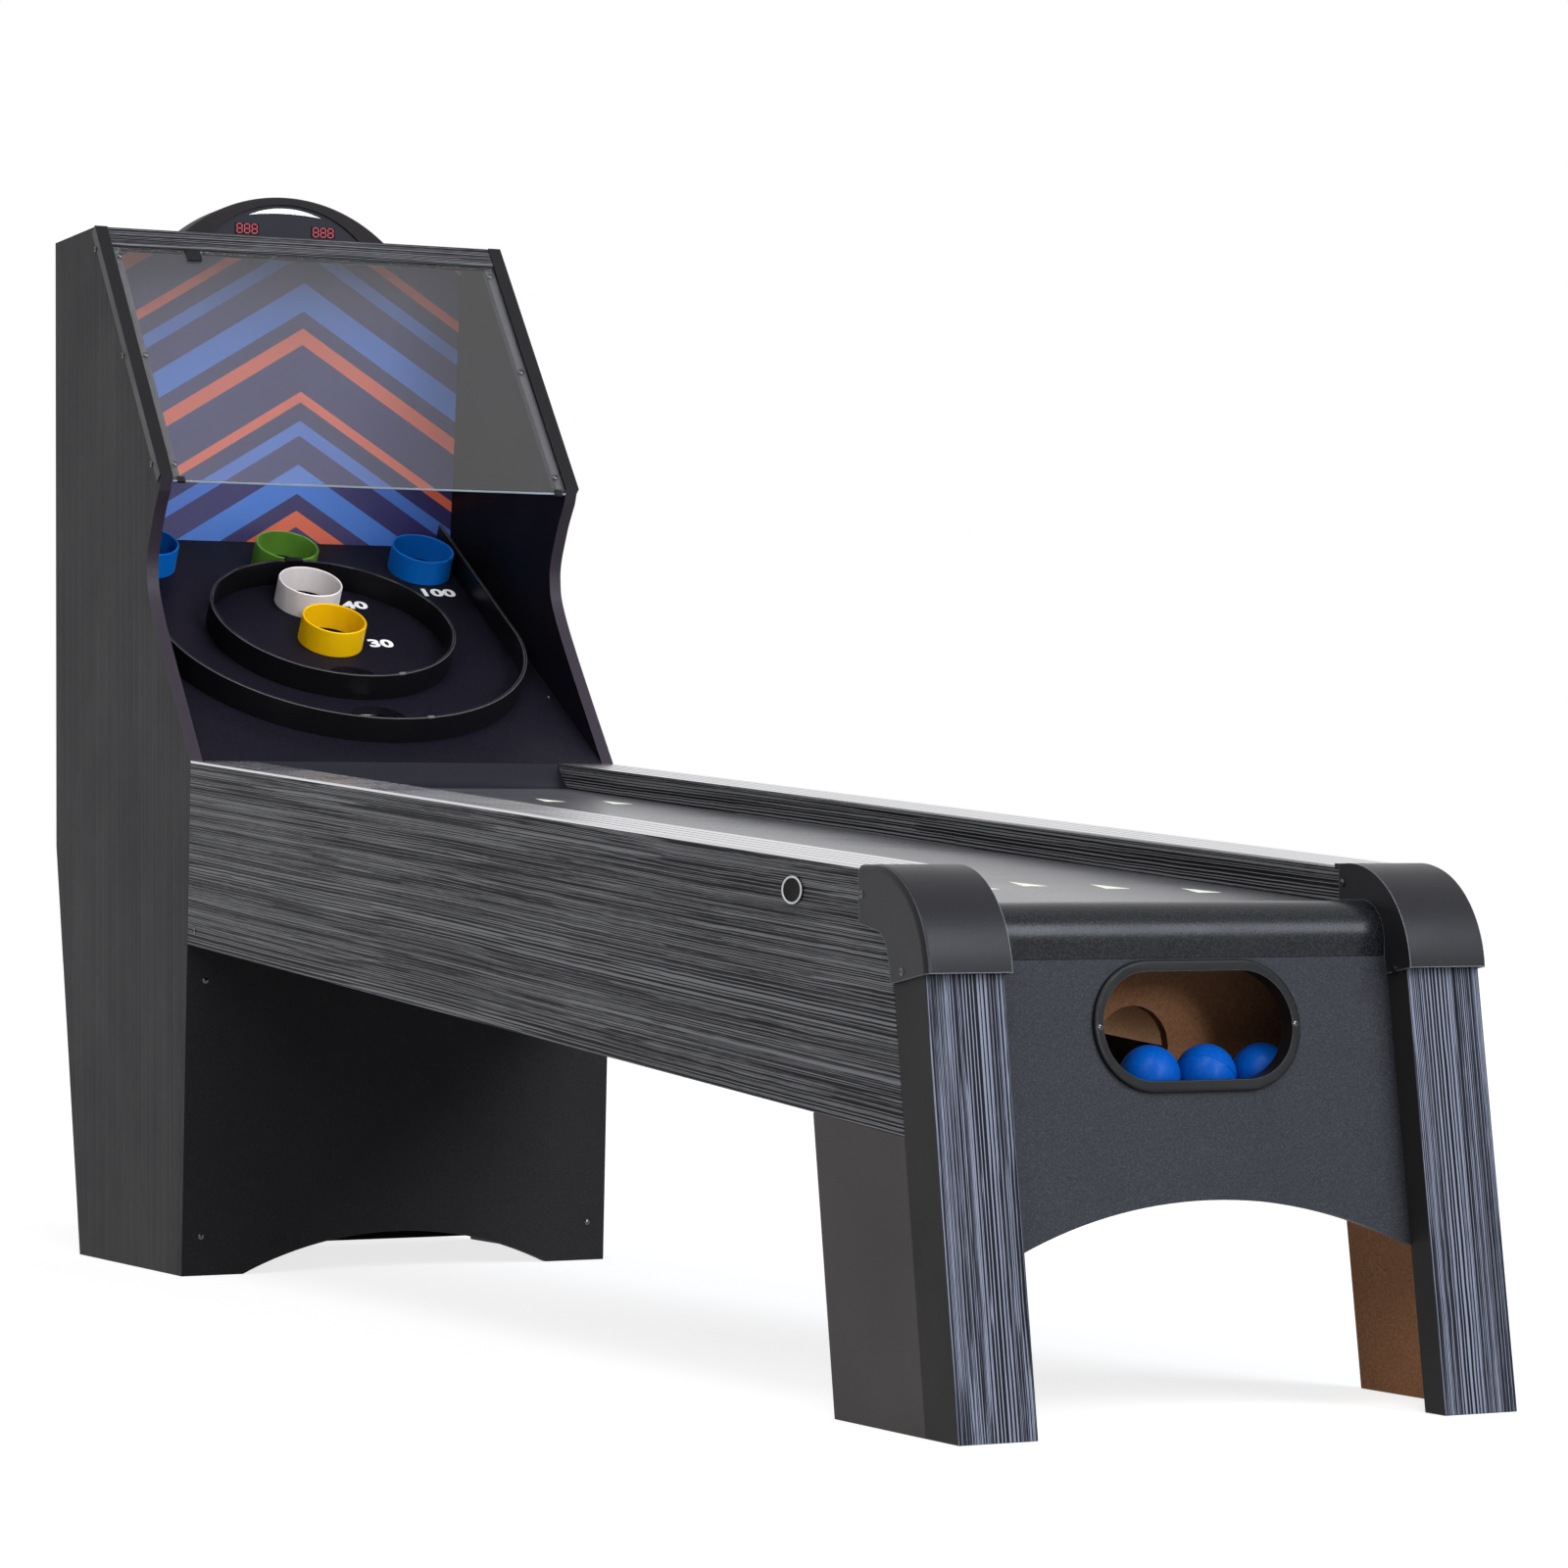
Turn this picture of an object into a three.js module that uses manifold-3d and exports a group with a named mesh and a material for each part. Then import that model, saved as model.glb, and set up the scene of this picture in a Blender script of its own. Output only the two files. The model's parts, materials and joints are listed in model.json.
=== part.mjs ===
import * as THREE from 'three';
import { mergeVertices } from 'three/addons/utils/BufferGeometryUtils.js';
import Module from 'manifold-3d';

const wasm = await Module();
wasm.setup();

const rad = THREE.MathUtils.degToRad;

// Driving dimensions in millimetres, +Z up, +Y from the player towards the cabinet

// Clearances, cuts and facets
const fitGap = 0.3;
const touchGap = 0.1;
const overrun = 40;
const weldSize = 0.0005;

// Boards
const halfWidth = 305;
const boardThick = 15;
const cabinetThick = 17;
const floorThick = 10;
const panelThick = 6;

// Lane and its side boards
const sideBand = 83;
const laneFrontY = 177;
const laneLength = 1935;
const laneFrontZ = 491.7;
const laneSlope = Math.tan(rad(4.585));
const laneThick = 12;
const wallAboveLane = 37;
const topSlope = Math.tan(rad(4.45));
const railThick = 3.5;
const railGrooveDeep = 1.2;
const railGrooveWide = 4;
const railGrooveShares = [0.2, 0.4, 0.6, 0.8];
const sideHeight = 246.2;
const underSlope = Math.tan(rad(4.55));
const sideChamfer = 26;

// Ramp that throws the ball up on to the targets
const kickerLength = 46;
const kickerBendShare = 0.52;
const kickerLiftShare = 0.06;
const kickerFoot = 12;

// Front legs
const legLean = 0.143;
const postDeep = 65;
const postReturn = 35;
const postThick = 15;
const postHeight = 456;
const plateFootLength = 189;
const plateTopLength = 193;

// Front apron, ball opening and its bezel
const apronSetback = 33;
const apronTopZ = 439.7;
const archSideZ = 160;
const archRise = 50;
const openingCentreZ = 375.7;
const bezelOuterLength = 228;
const bezelOuterHeight = 126;
const bezelInnerLength = 209;
const bezelInnerHeight = 104;
const bezelProud = 5.5;
const bezelBevel = 2.5;
const bezelWall = 3;

// Front roll between the caps
const rollTopZ = 494.4;
const rollRadius = 39.5;
const rollDeep = 81;
const rollBottomZ = 440;

// Corner caps
const capProud = 4;
const capTuck = 3;
const capLift = 1.2;
const capRearY = 189;
const capInnerRearY = 177;
const capRadius = 110;
const capWall = 4;
const capBevelOut = 6;
const capBevelIn = 8;
const capFootZ = 429;
const capFootY = 49.2;
const capRearDrop = 56;
const capShoulderDrop = 63;
const capShoulderY = 150;
const capHeelY = 124;
const capHeelRound = 4;
const capInnerNeck = 3;

// Ball tray and return
const ballRadius = 30;
const ballCount = 3;
const ballFirstX = -21;
const ballPitch = 62.8;
const ballRestY = 140;
const trayTopZ = 296;
const trayInset = 17;
const trayWallHeight = 110;
const bulkheadY = 208;
const bulkheadThick = 12;
const bulkheadUnder = 8;
const returnHoleRadius = 40;
const returnFloorZ = 312.5;
const returnSideGap = 48;

// Round badge place on the left side board
const discRadius = 14;
const discThick = 2;
const discY = 338;
const discZ = 507;

// Cabinet
const frontLean = 0.0612;
const cabinetDepth = 596;
const footDepthShare = 0.7483;
const kneeZ = 577;
const waistShare = 0.3054;
const waistRise = 266;
const lowerBellyShare = 0.255;
const lowerBellyRise = 194;
const upperBellyShare = 0.2668;
const upperBellyRise = 326;
const mouthRise = 368;
const stepShare = 0.2164;
const tipShare = 0.203;
const tipRise = 387;
const visorRise = 373;
const visorRunShare = 0.4799;
const cabinetArchLeg = 86;
const cabinetArchRise = 50;

// Visor, header and back artwork board
const glassThick = 4;
const glassInset = 3.5;
const glassDrop = 4;
const headerHeight = 35;
const trimLeg = 14;
const trimThick = 1.5;
const seatWide = 12;
const seatThick = 10;
const clipInset = 118.7;
const clipWide = 21;
const clipLong = 19;
const clipThick = 2;
const artInset = 38;
const artLean = 45;
const artThick = 5;

// Target board, in its own slope
const targetSlope = rad(31);
const targetThick = 12;
const holeShare = 0.0661;
const openHoleShare = 0.0692;
const ringWall = 4;
const ringHeight = 38;
const ringSideGap = 21.7;
const ringEndGap = 0.7;
const ringHoleGap = 7.5;
const lowHoleGap = 15;
const ringCupGap = 0.5;
const cupWall = 3;
const cupHeight = 38;
const cupLipRound = 1.5;
const openUpShares = [0.1721, 0.3473];
const cupUpShares = [0.5266, 0.6996, 0.8729];
const cornerCupGap = 6;
const cornerCupShare = 0.876;

// Score flaps under the holes
const flapPinRadius = 2;
const flapPinHalf = 27;
const flapHalf = 20;
const flapReach = 63;
const flapThick = 2;
const flapDrop = 6;
const flapBehind = 8;
const lugHoleRadius = 2.4;
const lugInner = 22;
const lugThick = 4;
const lugHalf = 6;
const lugSink = 2;
const lugUnder = 3;

// Ball collector in the cabinet
const collectorSlope = Math.tan(rad(10));

// Scorer on the roof
const scorerBackInset = 125;
const scorerDeep = 65;
const scorerHalf = 162;
const scorerRise = 67;
const scorerBevel = 3;
const faceHalf = 111;
const faceFoot = 10;
const faceRise = 46;
const faceThick = 2;
const faceRecess = 3;
const faceEndGap = 0.9;
const faceTopGap = 0.6;
const digitSide = 58;
const digitWide = 36;
const digitHigh = 15.5;
const digitUp = 11.5;
const displayThick = 1.2;
const crescentHalf = 56;
const crescentUp = 39;
const crescentRise = 12;
const crescentHollow = 4;
const buttonRadius = 5;
const buttonOut = 3;
const buttonSeat = 4;
const buttonIn = 2.2;
const buttonSide = 40;
const buttonUp = 30;

// Surfaces and colours
function paint(colour, roughness, metalness = 0) {
  return new THREE.MeshStandardMaterial({ color: colour, roughness, metalness });
}
const looks = {
  darkLaminate: paint(0x2b2b2f, 0.55),
  blueLaminate: paint(0x343a4a, 0.5),
  smoothGrey: paint(0x2c2a2c, 0.5),
  blackPanel: paint(0x111214, 0.6),
  mdf: paint(0x9c5a34, 0.85),
  blackPlastic: paint(0x17181a, 0.5),
  satinBlack: paint(0x0d0d0f, 0.35),
  lane: paint(0x5a5c62, 0.35),
  target: paint(0x19151d, 0.45),
  silver: paint(0xb8bac0, 0.3, 0.9),
  clear: paint(0xaab2b8, 0.05),
  art: paint(0x2a2a5a, 0.5),
  seatGrey: paint(0x8e8e92, 0.5),
  yellow: paint(0xf2b90c, 0.35),
  white: paint(0xd8d8dc, 0.35),
  green: paint(0x5f9e22, 0.35),
  blue: paint(0x1263c0, 0.35),
  ball: paint(0x1f5fd0, 0.4),
  slate: paint(0x2a2f38, 0.4),
  redDigit: paint(0x5a0a12, 0.3),
  flap: paint(0x3a3a3e, 0.4, 0.6),
};

// Meshes are placed in one model group that is centred at the end
const group = new THREE.Group();
const model = new THREE.Group();
group.add(model);

function addMesh(name, geometry, look, parent = model) {
  const mesh = new THREE.Mesh(geometry, look);
  mesh.name = name;
  parent.add(mesh);
  return mesh;
}

// Outlines and straight extrusions
function outline(points) {
  return new THREE.Shape(points.map(([a, b]) => new THREE.Vector2(a, b)));
}

function extrude(shape, depth, curveSegments = 12, bevel = {}) {
  return new THREE.ExtrudeGeometry(shape, { depth, curveSegments, steps: 1, bevelEnabled: false, ...bevel });
}

const profileToX = new THREE.Matrix4().makeBasis(
  new THREE.Vector3(0, 1, 0), new THREE.Vector3(0, 0, 1), new THREE.Vector3(1, 0, 0));
const frontToY = new THREE.Matrix4().makeBasis(
  new THREE.Vector3(1, 0, 0), new THREE.Vector3(0, 0, 1), new THREE.Vector3(0, -1, 0));

// A side view outline in Y and Z, from one X to another
function alongX(shape, xa, xb, curveSegments) {
  const low = Math.min(xa, xb);
  const geometry = extrude(shape, Math.abs(xb - xa), curveSegments);
  geometry.applyMatrix4(profileToX);
  return geometry.translate(low, 0, 0);
}

// A front view outline in X and Z, from one Y back to another
function alongY(shape, ya, yb, curveSegments, bevel) {
  const geometry = extrude(shape, Math.abs(yb - ya), curveSegments, bevel);
  geometry.applyMatrix4(frontToY);
  return geometry.translate(0, Math.max(ya, yb), 0);
}

// A board that leans: each level slides along Y by its height times the lean
function leaned(geometry, lean) {
  return geometry.applyMatrix4(new THREE.Matrix4().makeShear(0, 0, 0, 0, 0, lean));
}

function rectangle(xa, za, xb, zb) {
  return outline([[xa, za], [xb, za], [xb, zb], [xa, zb]]);
}

function stadium(target, length, height, centreZ) {
  const r = height / 2;
  const half = length / 2 - r;
  target.moveTo(-half, centreZ - r);
  target.lineTo(half, centreZ - r);
  target.absarc(half, centreZ, r, -Math.PI / 2, Math.PI / 2, false);
  target.lineTo(-half, centreZ + r);
  target.absarc(-half, centreZ, r, Math.PI / 2, Math.PI * 1.5, false);
  return target;
}

function circle(target, x, y, r) {
  target.absarc(x, y, r, 0, Math.PI * 2, false);
  return target;
}

// Joins and cuts
function toSolid(geometry) {
  const bare = geometry.clone();
  bare.deleteAttribute('normal');
  bare.deleteAttribute('uv');
  const merged = mergeVertices(bare, weldSize);
  return new wasm.Manifold(new wasm.Mesh({
    numProp: 3,
    vertProperties: new Float32Array(merged.attributes.position.array),
    triVerts: new Uint32Array(merged.index.array),
  }));
}

function toGeometry(solid) {
  const mesh = solid.getMesh();
  const geometry = new THREE.BufferGeometry();
  geometry.setAttribute('position', new THREE.BufferAttribute(new Float32Array(mesh.vertProperties), 3));
  geometry.setIndex(new THREE.BufferAttribute(new Uint32Array(mesh.triVerts), 1));
  geometry.computeVertexNormals();
  return geometry;
}

function joined(...geometries) {
  return toGeometry(geometries.map(toSolid).reduce((a, b) => a.add(b)));
}

const sides = [['left', -1], ['right', 1]];

// The radius of an arch from half its chord and its rise
function archRadiusOf(half, rise) {
  return (half * half + rise * rise) / (2 * rise);
}

// Lines that several pieces share
const laneHalf = halfWidth - sideBand;
const capInner = laneHalf - capTuck;
const tipIn = cabinetDepth * tipShare;
const visorRun = cabinetDepth * visorRunShare;
const cabinetY = laneFrontY + laneLength + kickerLength + fitGap;
const laneTop = (y) => laneFrontZ + laneSlope * (y - laneFrontY);
const topZ = (y) => laneTop(capRearY) + wallAboveLane + topSlope * (y - capRearY);
const boardTop = (y) => topZ(y) - railThick;
const sideUnder = (y) => topZ(capRearY) - sideHeight + underSlope * (y - capRearY);
const seamY = (z) => postDeep + fitGap + legLean * z;
const capTopZ = topZ(capRearY) + capLift;
const laneLevelZ = topZ(cabinetY) + fitGap;
const frontY = (z) => cabinetY + frontLean * (laneLevelZ - z);
const backY = cabinetY + cabinetDepth;
const cabinetInner = halfWidth - cabinetThick;
const boardInner = halfWidth - boardThick;
const roofZ = laneLevelZ + tipRise + visorRise;
const tipY = cabinetY + tipIn;
const tipZ = laneLevelZ + tipRise;
const footRearY = frontY(0) + cabinetDepth * footDepthShare;

// Cabinet sides with the S-shaped mouth and the leaning back foot
function cabinetOutline() {
  const shape = new THREE.Shape();
  shape.moveTo(frontY(0) + boardThick + fitGap, 0);
  shape.lineTo(frontY(sideUnder(cabinetY)) + boardThick + fitGap, sideUnder(cabinetY));
  shape.lineTo(frontY(sideUnder(cabinetY)), sideUnder(cabinetY));
  shape.lineTo(cabinetY, laneLevelZ);
  shape.splineThru([
    [lowerBellyShare, lowerBellyRise], [waistShare, waistRise],
    [upperBellyShare, upperBellyRise], [stepShare, mouthRise],
  ].map(([share, rise]) => new THREE.Vector2(cabinetY + cabinetDepth * share, laneLevelZ + rise)));
  shape.lineTo(tipY, tipZ);
  shape.lineTo(tipY + visorRun, roofZ);
  shape.lineTo(backY, roofZ);
  shape.lineTo(backY, kneeZ);
  shape.lineTo(footRearY, 0);
  return shape;
}
for (const [side, sign] of sides) {
  const board = alongX(cabinetOutline(), sign * cabinetInner, sign * halfWidth, 8);
  addMesh(`cabinet_side_${side}`, board, looks.darkLaminate);
}

// Roof, back panels and lower front panel
const insideHalf = cabinetInner - fitGap;
const visorLength = Math.hypot(visorRun, visorRise);
const headerBackY = tipY + visorRun + boardThick * visorLength / visorRise + fitGap;
addMesh('roof_board', alongX(outline([
  [headerBackY, roofZ - boardThick],
  [backY - panelThick - fitGap, roofZ - boardThick],
  [backY - panelThick - fitGap, roofZ],
  [headerBackY, roofZ],
]), -insideHalf, insideHalf), looks.darkLaminate);

addMesh('rear_panel_upper', alongX(outline([
  [backY - panelThick, kneeZ + fitGap],
  [backY, kneeZ + fitGap],
  [backY, roofZ],
  [backY - panelThick, roofZ],
]), -insideHalf, insideHalf), looks.blackPanel);

addMesh('rear_panel_lower', alongX(outline([
  [footRearY - panelThick, panelThick],
  [footRearY + (backY - footRearY) * panelThick / kneeZ, panelThick],
  [backY, kneeZ],
  [backY - panelThick, kneeZ],
]), -insideHalf, insideHalf), looks.blackPanel);

function archedPanel(half, legHalf, rise, baseZ, topLevel) {
  const archRadius = archRadiusOf(legHalf, rise);
  const start = Math.asin(legHalf / archRadius);
  const shape = new THREE.Shape();
  shape.moveTo(-half, baseZ);
  if (half > legHalf) shape.lineTo(-legHalf, baseZ);
  shape.absarc(0, baseZ + rise - archRadius, archRadius, Math.PI / 2 + start, Math.PI / 2 - start, true);
  shape.lineTo(half, baseZ);
  shape.lineTo(half, topLevel);
  shape.lineTo(-half, topLevel);
  return shape;
}
const frontPanelTop = sideUnder(cabinetY) - fitGap;
const lowerFrontShape = archedPanel(halfWidth, halfWidth - cabinetArchLeg, cabinetArchRise, 0, frontPanelTop);
const lowerFront = alongY(lowerFrontShape, 0, boardThick, 20);
leaned(lowerFront, -frontLean);
addMesh('lower_front_panel', lowerFront.translate(0, frontY(0), 0), looks.blackPanel);

// Header strip, visor glass, its seats, trims and top clip lie in the slope of the visor
const visor = new THREE.Group();
visor.position.set(0, tipY, tipZ);
visor.rotation.x = Math.atan2(visorRise, visorRun);
model.add(visor);

const headerFoot = visorLength - headerHeight;
const header = alongX(outline([
  [headerFoot, -boardThick],
  [visorLength + boardThick * visorRun / visorRise, -boardThick],
  [visorLength, 0],
  [headerFoot, 0],
]), -insideHalf, insideHalf);
addMesh('header_board', header, looks.darkLaminate, visor);

const glassTop = headerFoot - fitGap;
const glassSection = rectangle(-glassDrop, -glassInset - glassThick, glassTop, -glassInset);
const glass = alongX(glassSection, -insideHalf, insideHalf);
addMesh('visor_glass', glass, looks.clear, visor);

for (const [side, sign] of sides) {
  const seatTopZ = -glassInset - glassThick - fitGap;
  addMesh(`visor_seat_${side}`, alongX(
    rectangle(glassDrop, seatTopZ - seatThick, glassTop, seatTopZ),
    sign * (insideHalf - seatWide), sign * insideHalf), looks.seatGrey, visor);
  const trim = outline([
    [cabinetInner, fitGap], [halfWidth + fitGap, fitGap], [halfWidth + fitGap, -trimLeg],
    [halfWidth + fitGap + trimThick, -trimLeg], [halfWidth + fitGap + trimThick, fitGap + trimThick],
    [cabinetInner, fitGap + trimThick],
  ].map(([x, z]) => [sign * x, z]));
  const trimMesh = alongY(trim, 0, visorLength);
  addMesh(`visor_trim_${side}`, trimMesh, looks.satinBlack, visor);
}

const clipX = clipInset - insideHalf;
const clipFootZ = touchGap - glassInset;
addMesh('visor_top_clip', alongX(
  rectangle(headerFoot - clipLong, clipFootZ, headerFoot - fitGap, clipFootZ + clipThick),
  clipX - clipWide / 2, clipX + clipWide / 2), looks.satinBlack, visor);

// Artwork board that closes the play field at the back and leans forward
const artFootY = backY - artInset;
const targetLength = (artFootY - cabinetY) / Math.cos(targetSlope) - fitGap;
const artFootZ = laneLevelZ + Math.tan(targetSlope) * (artFootY - cabinetY);
addMesh('artwork_backboard', alongX(outline([
  [artFootY + fitGap, artFootZ],
  [artFootY + fitGap + artThick, artFootZ],
  [artFootY - artLean + artThick, roofZ - boardThick - fitGap],
  [artFootY - artLean, roofZ - boardThick - fitGap],
]), -insideHalf, insideHalf), looks.art);

// Target board: its holes, ring walls, cups and score flaps lie in its slope
const target = new THREE.Group();
target.position.set(0, cabinetY, laneLevelZ);
target.rotation.x = targetSlope;
model.add(target);

const holeRadius = targetLength * holeShare;
const openHoleRadius = targetLength * openHoleShare;
const cupOuter = holeRadius + cupWall;
const [lowUp, ringUp] = openUpShares.map((share) => targetLength * share);
const [yellowUp, whiteUp, greenUp] = cupUpShares.map((share) => targetLength * share);
const cornerUp = targetLength * cornerCupShare;
const outerRingRadius = insideHalf - ringSideGap;
const ringInside = outerRingRadius - ringWall;
const cornerCupSide = ringInside - cornerCupGap - cupOuter;
const holes = [
  [0, lowUp, openHoleRadius],
  [0, ringUp, openHoleRadius],
  [0, yellowUp, holeRadius],
  [0, whiteUp, holeRadius],
  [0, greenUp, holeRadius],
  [-cornerCupSide, cornerUp, holeRadius],
  [cornerCupSide, cornerUp, holeRadius],
];
const boardShape = outline([
  [-insideHalf, 0], [insideHalf, 0],
  [insideHalf, targetLength], [-insideHalf, targetLength],
]);
for (const [x, up, r] of holes) boardShape.holes.push(circle(new THREE.Path(), x, up, r));
let board = toSolid(extrude(boardShape, targetThick, 12).translate(0, 0, -targetThick));

const pinUp = holeRadius + flapBehind;
const pinZ = -targetThick - flapDrop;
for (const [x, up] of holes) {
  for (const sign of [-1, 1]) {
    const lug = outline([
      [up + pinUp - lugHalf, lugSink - targetThick], [up + pinUp - lugHalf, pinZ - lugUnder],
      [up + pinUp + lugHalf, pinZ - lugUnder], [up + pinUp + lugHalf, lugSink - targetThick],
    ]);
    lug.holes.push(circle(new THREE.Path(), up + pinUp, pinZ, lugHoleRadius));
    board = board.add(toSolid(alongX(lug, x + sign * lugInner, x + sign * (lugInner + lugThick), 6)));
  }
}
addMesh('target_board', toGeometry(board), looks.target, target);

// The inner ring runs from below its own hole to just below the green cup
const innerRingLow = ringUp - openHoleRadius - ringHoleGap;
const innerRingHigh = greenUp - cupOuter - ringCupGap;
const innerRingRadius = (innerRingHigh - innerRingLow) / 2;
const innerRingUp = innerRingLow + innerRingRadius;
const innerRing = circle(new THREE.Shape(), 0, innerRingUp, innerRingRadius);
innerRing.holes.push(circle(new THREE.Path(), 0, innerRingUp, innerRingRadius - ringWall));
const innerWall = extrude(innerRing, ringHeight, 32).translate(0, 0, fitGap);
addMesh('inner_ring_wall', innerWall, looks.satinBlack, target);

// The outer ring turns round the lowest hole and runs up to the artwork board
const outerRing = new THREE.Shape();
const outerRingUp = lowUp - openHoleRadius - lowHoleGap + outerRingRadius;
const outerRingTop = targetLength - ringEndGap;
outerRing.moveTo(outerRingRadius, outerRingTop);
outerRing.lineTo(ringInside, outerRingTop);
outerRing.lineTo(ringInside, outerRingUp);
outerRing.absarc(0, outerRingUp, ringInside, 0, Math.PI, true);
outerRing.lineTo(-ringInside, outerRingTop);
outerRing.lineTo(-outerRingRadius, outerRingTop);
outerRing.lineTo(-outerRingRadius, outerRingUp);
outerRing.absarc(0, outerRingUp, outerRingRadius, Math.PI, 0, false);
const outerWall = extrude(outerRing, ringHeight, 36).translate(0, 0, fitGap);
addMesh('outer_ring_wall', outerWall, looks.satinBlack, target);

function cupGeometry() {
  const lip = cupLipRound;
  const inner = holeRadius;
  const profile = [
    [inner, 0], [cupOuter, 0], [cupOuter, cupHeight - lip], [cupOuter - lip / 2, cupHeight],
    [inner + lip / 2, cupHeight], [inner, cupHeight - lip], [inner, 0],
  ].map(([x, y]) => new THREE.Vector2(x, y));
  return new THREE.LatheGeometry(profile, 40).rotateX(Math.PI / 2);
}
const cups = [
  ['cup_yellow', 0, yellowUp, looks.yellow],
  ['cup_white', 0, whiteUp, looks.white],
  ['cup_green', 0, greenUp, looks.green],
  ['cup_blue_left', -cornerCupSide, cornerUp, looks.blue],
  ['cup_blue_right', cornerCupSide, cornerUp, looks.blue],
];
for (const [name, x, up, look] of cups) {
  addMesh(name, cupGeometry().translate(x, up, fitGap), look, target);
}

const flapNames = ['low', 'ring', 'yellow', 'white', 'green', 'blue_left', 'blue_right'];
holes.forEach(([x, up], i) => {
  const pin = new THREE.CylinderGeometry(flapPinRadius, flapPinRadius, 2 * flapPinHalf, 10);
  pin.rotateZ(Math.PI / 2);
  const blade = alongX(rectangle(-flapReach, -flapThick / 2, 0, flapThick / 2), -flapHalf, flapHalf);
  const flap = joined(pin, blade).translate(x, up + pinUp, pinZ);
  addMesh(`score_flap_${flapNames[i]}`, flap, looks.flap, target);
});

// Lane, kicker and the boards beside it
const laneRearY = laneFrontY + laneLength;
const laneHalfFit = laneHalf - fitGap;
addMesh('playfield', alongX(outline([
  [laneFrontY, laneTop(laneFrontY) - laneThick],
  [laneRearY, laneTop(laneRearY) - laneThick],
  [laneRearY, laneTop(laneRearY)],
  [laneFrontY, laneTop(laneFrontY)],
]), -laneHalfFit, laneHalfFit), looks.lane);

const kicker = new THREE.Shape();
const kickerFrontZ = laneTop(laneRearY);
const kickerRise = laneLevelZ - kickerFrontZ;
kicker.moveTo(laneRearY + fitGap, kickerFrontZ - kickerFoot);
kicker.lineTo(laneRearY + fitGap, kickerFrontZ);
kicker.quadraticCurveTo(
  laneRearY + kickerLength * kickerBendShare, kickerFrontZ + kickerRise * kickerLiftShare,
  cabinetY - fitGap, laneLevelZ - fitGap);
kicker.lineTo(cabinetY - fitGap, kickerFrontZ - kickerFoot);
addMesh('kicker_ramp', alongX(kicker, -laneHalfFit, laneHalfFit, 14), looks.lane);

const rampEndY = cabinetY - fitGap;
const noseZ = sideUnder(seamY(sideUnder(capRearY)));
for (const [side, sign] of sides) {
  const outer = outline([
    [seamY(noseZ), noseZ],
    [frontY(sideUnder(rampEndY)) - fitGap, sideUnder(rampEndY)],
    [frontY(boardTop(rampEndY)) - fitGap, boardTop(rampEndY)],
    [seamY(capTopZ) + sideChamfer, boardTop(seamY(capTopZ) + sideChamfer)],
    [seamY(capTopZ - sideChamfer), boardTop(seamY(capTopZ)) - sideChamfer],
  ]);
  addMesh(`outer_board_${side}`, alongX(outer, sign * boardInner, sign * halfWidth), looks.darkLaminate);
  const innerFrontY = seamY(capTopZ) + sideChamfer;
  const inner = outline([
    [innerFrontY, laneTop(innerFrontY) - laneThick],
    [rampEndY, laneTop(laneRearY) - laneThick],
    [rampEndY, boardTop(rampEndY)],
    [innerFrontY, boardTop(innerFrontY)],
  ]);
  const innerBoard = alongX(inner, sign * laneHalf, sign * (laneHalf + boardThick));
  addMesh(`inner_board_${side}`, innerBoard, looks.darkLaminate);
}

// Top rails: a grooved section drawn in X and Z and slid along the slope of the boards
for (const [side, sign] of sides) {
  const points = [[laneHalf, fitGap], [laneHalf, railThick]];
  for (const share of railGrooveShares) {
    const x = laneHalf + sideBand * share;
    points.push([x - railGrooveWide / 2, railThick], [x - railGrooveWide / 4, railThick - railGrooveDeep]);
    points.push([x + railGrooveWide / 4, railThick - railGrooveDeep], [x + railGrooveWide / 2, railThick]);
  }
  points.push([halfWidth, railThick], [halfWidth, fitGap]);
  const rail = alongY(outline(points.map(([x, z]) => [sign * x, z])), 0, rampEndY - capRearY - fitGap);
  rail.applyMatrix4(new THREE.Matrix4().makeShear(0, 0, 0, topSlope, 0, 0));
  rail.translate(0, capRearY + fitGap, boardTop(capRearY + fitGap));
  addMesh(`top_rail_${side}`, rail, looks.silver);
}

// Front roll with its rounded nose
const rollHalf = capInner - fitGap;
const roll = new THREE.Shape();
const rollFrontY = laneFrontY - fitGap - rollDeep;
roll.moveTo(laneFrontY - fitGap, rollBottomZ);
roll.lineTo(laneFrontY - fitGap, rollTopZ);
roll.lineTo(rollFrontY + rollRadius, rollTopZ);
roll.absarc(rollFrontY + rollRadius, rollTopZ - rollRadius, rollRadius, Math.PI / 2, Math.PI, false);
roll.lineTo(rollFrontY, rollBottomZ);
addMesh('front_roll', alongX(roll, -rollHalf, rollHalf, 12), looks.blackPlastic);

// Front apron between the posts
const postInner = halfWidth - sideBand;
const apronHalf = postInner - fitGap;
const apronFrontY = (z) => apronSetback + legLean * z;
const apronShape = archedPanel(apronHalf, apronHalf, archRise, archSideZ, apronTopZ);
const cutLength = bezelInnerLength + 2 * (bezelWall + fitGap);
const cutHeight = bezelInnerHeight + 2 * (bezelWall + fitGap);
apronShape.holes.push(stadium(new THREE.Path(), cutLength, cutHeight, openingCentreZ));
const apron = leaned(alongY(apronShape, 0, boardThick, 16), legLean);
addMesh('front_apron', apron.translate(0, apronSetback, 0), looks.blackPanel);

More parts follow.
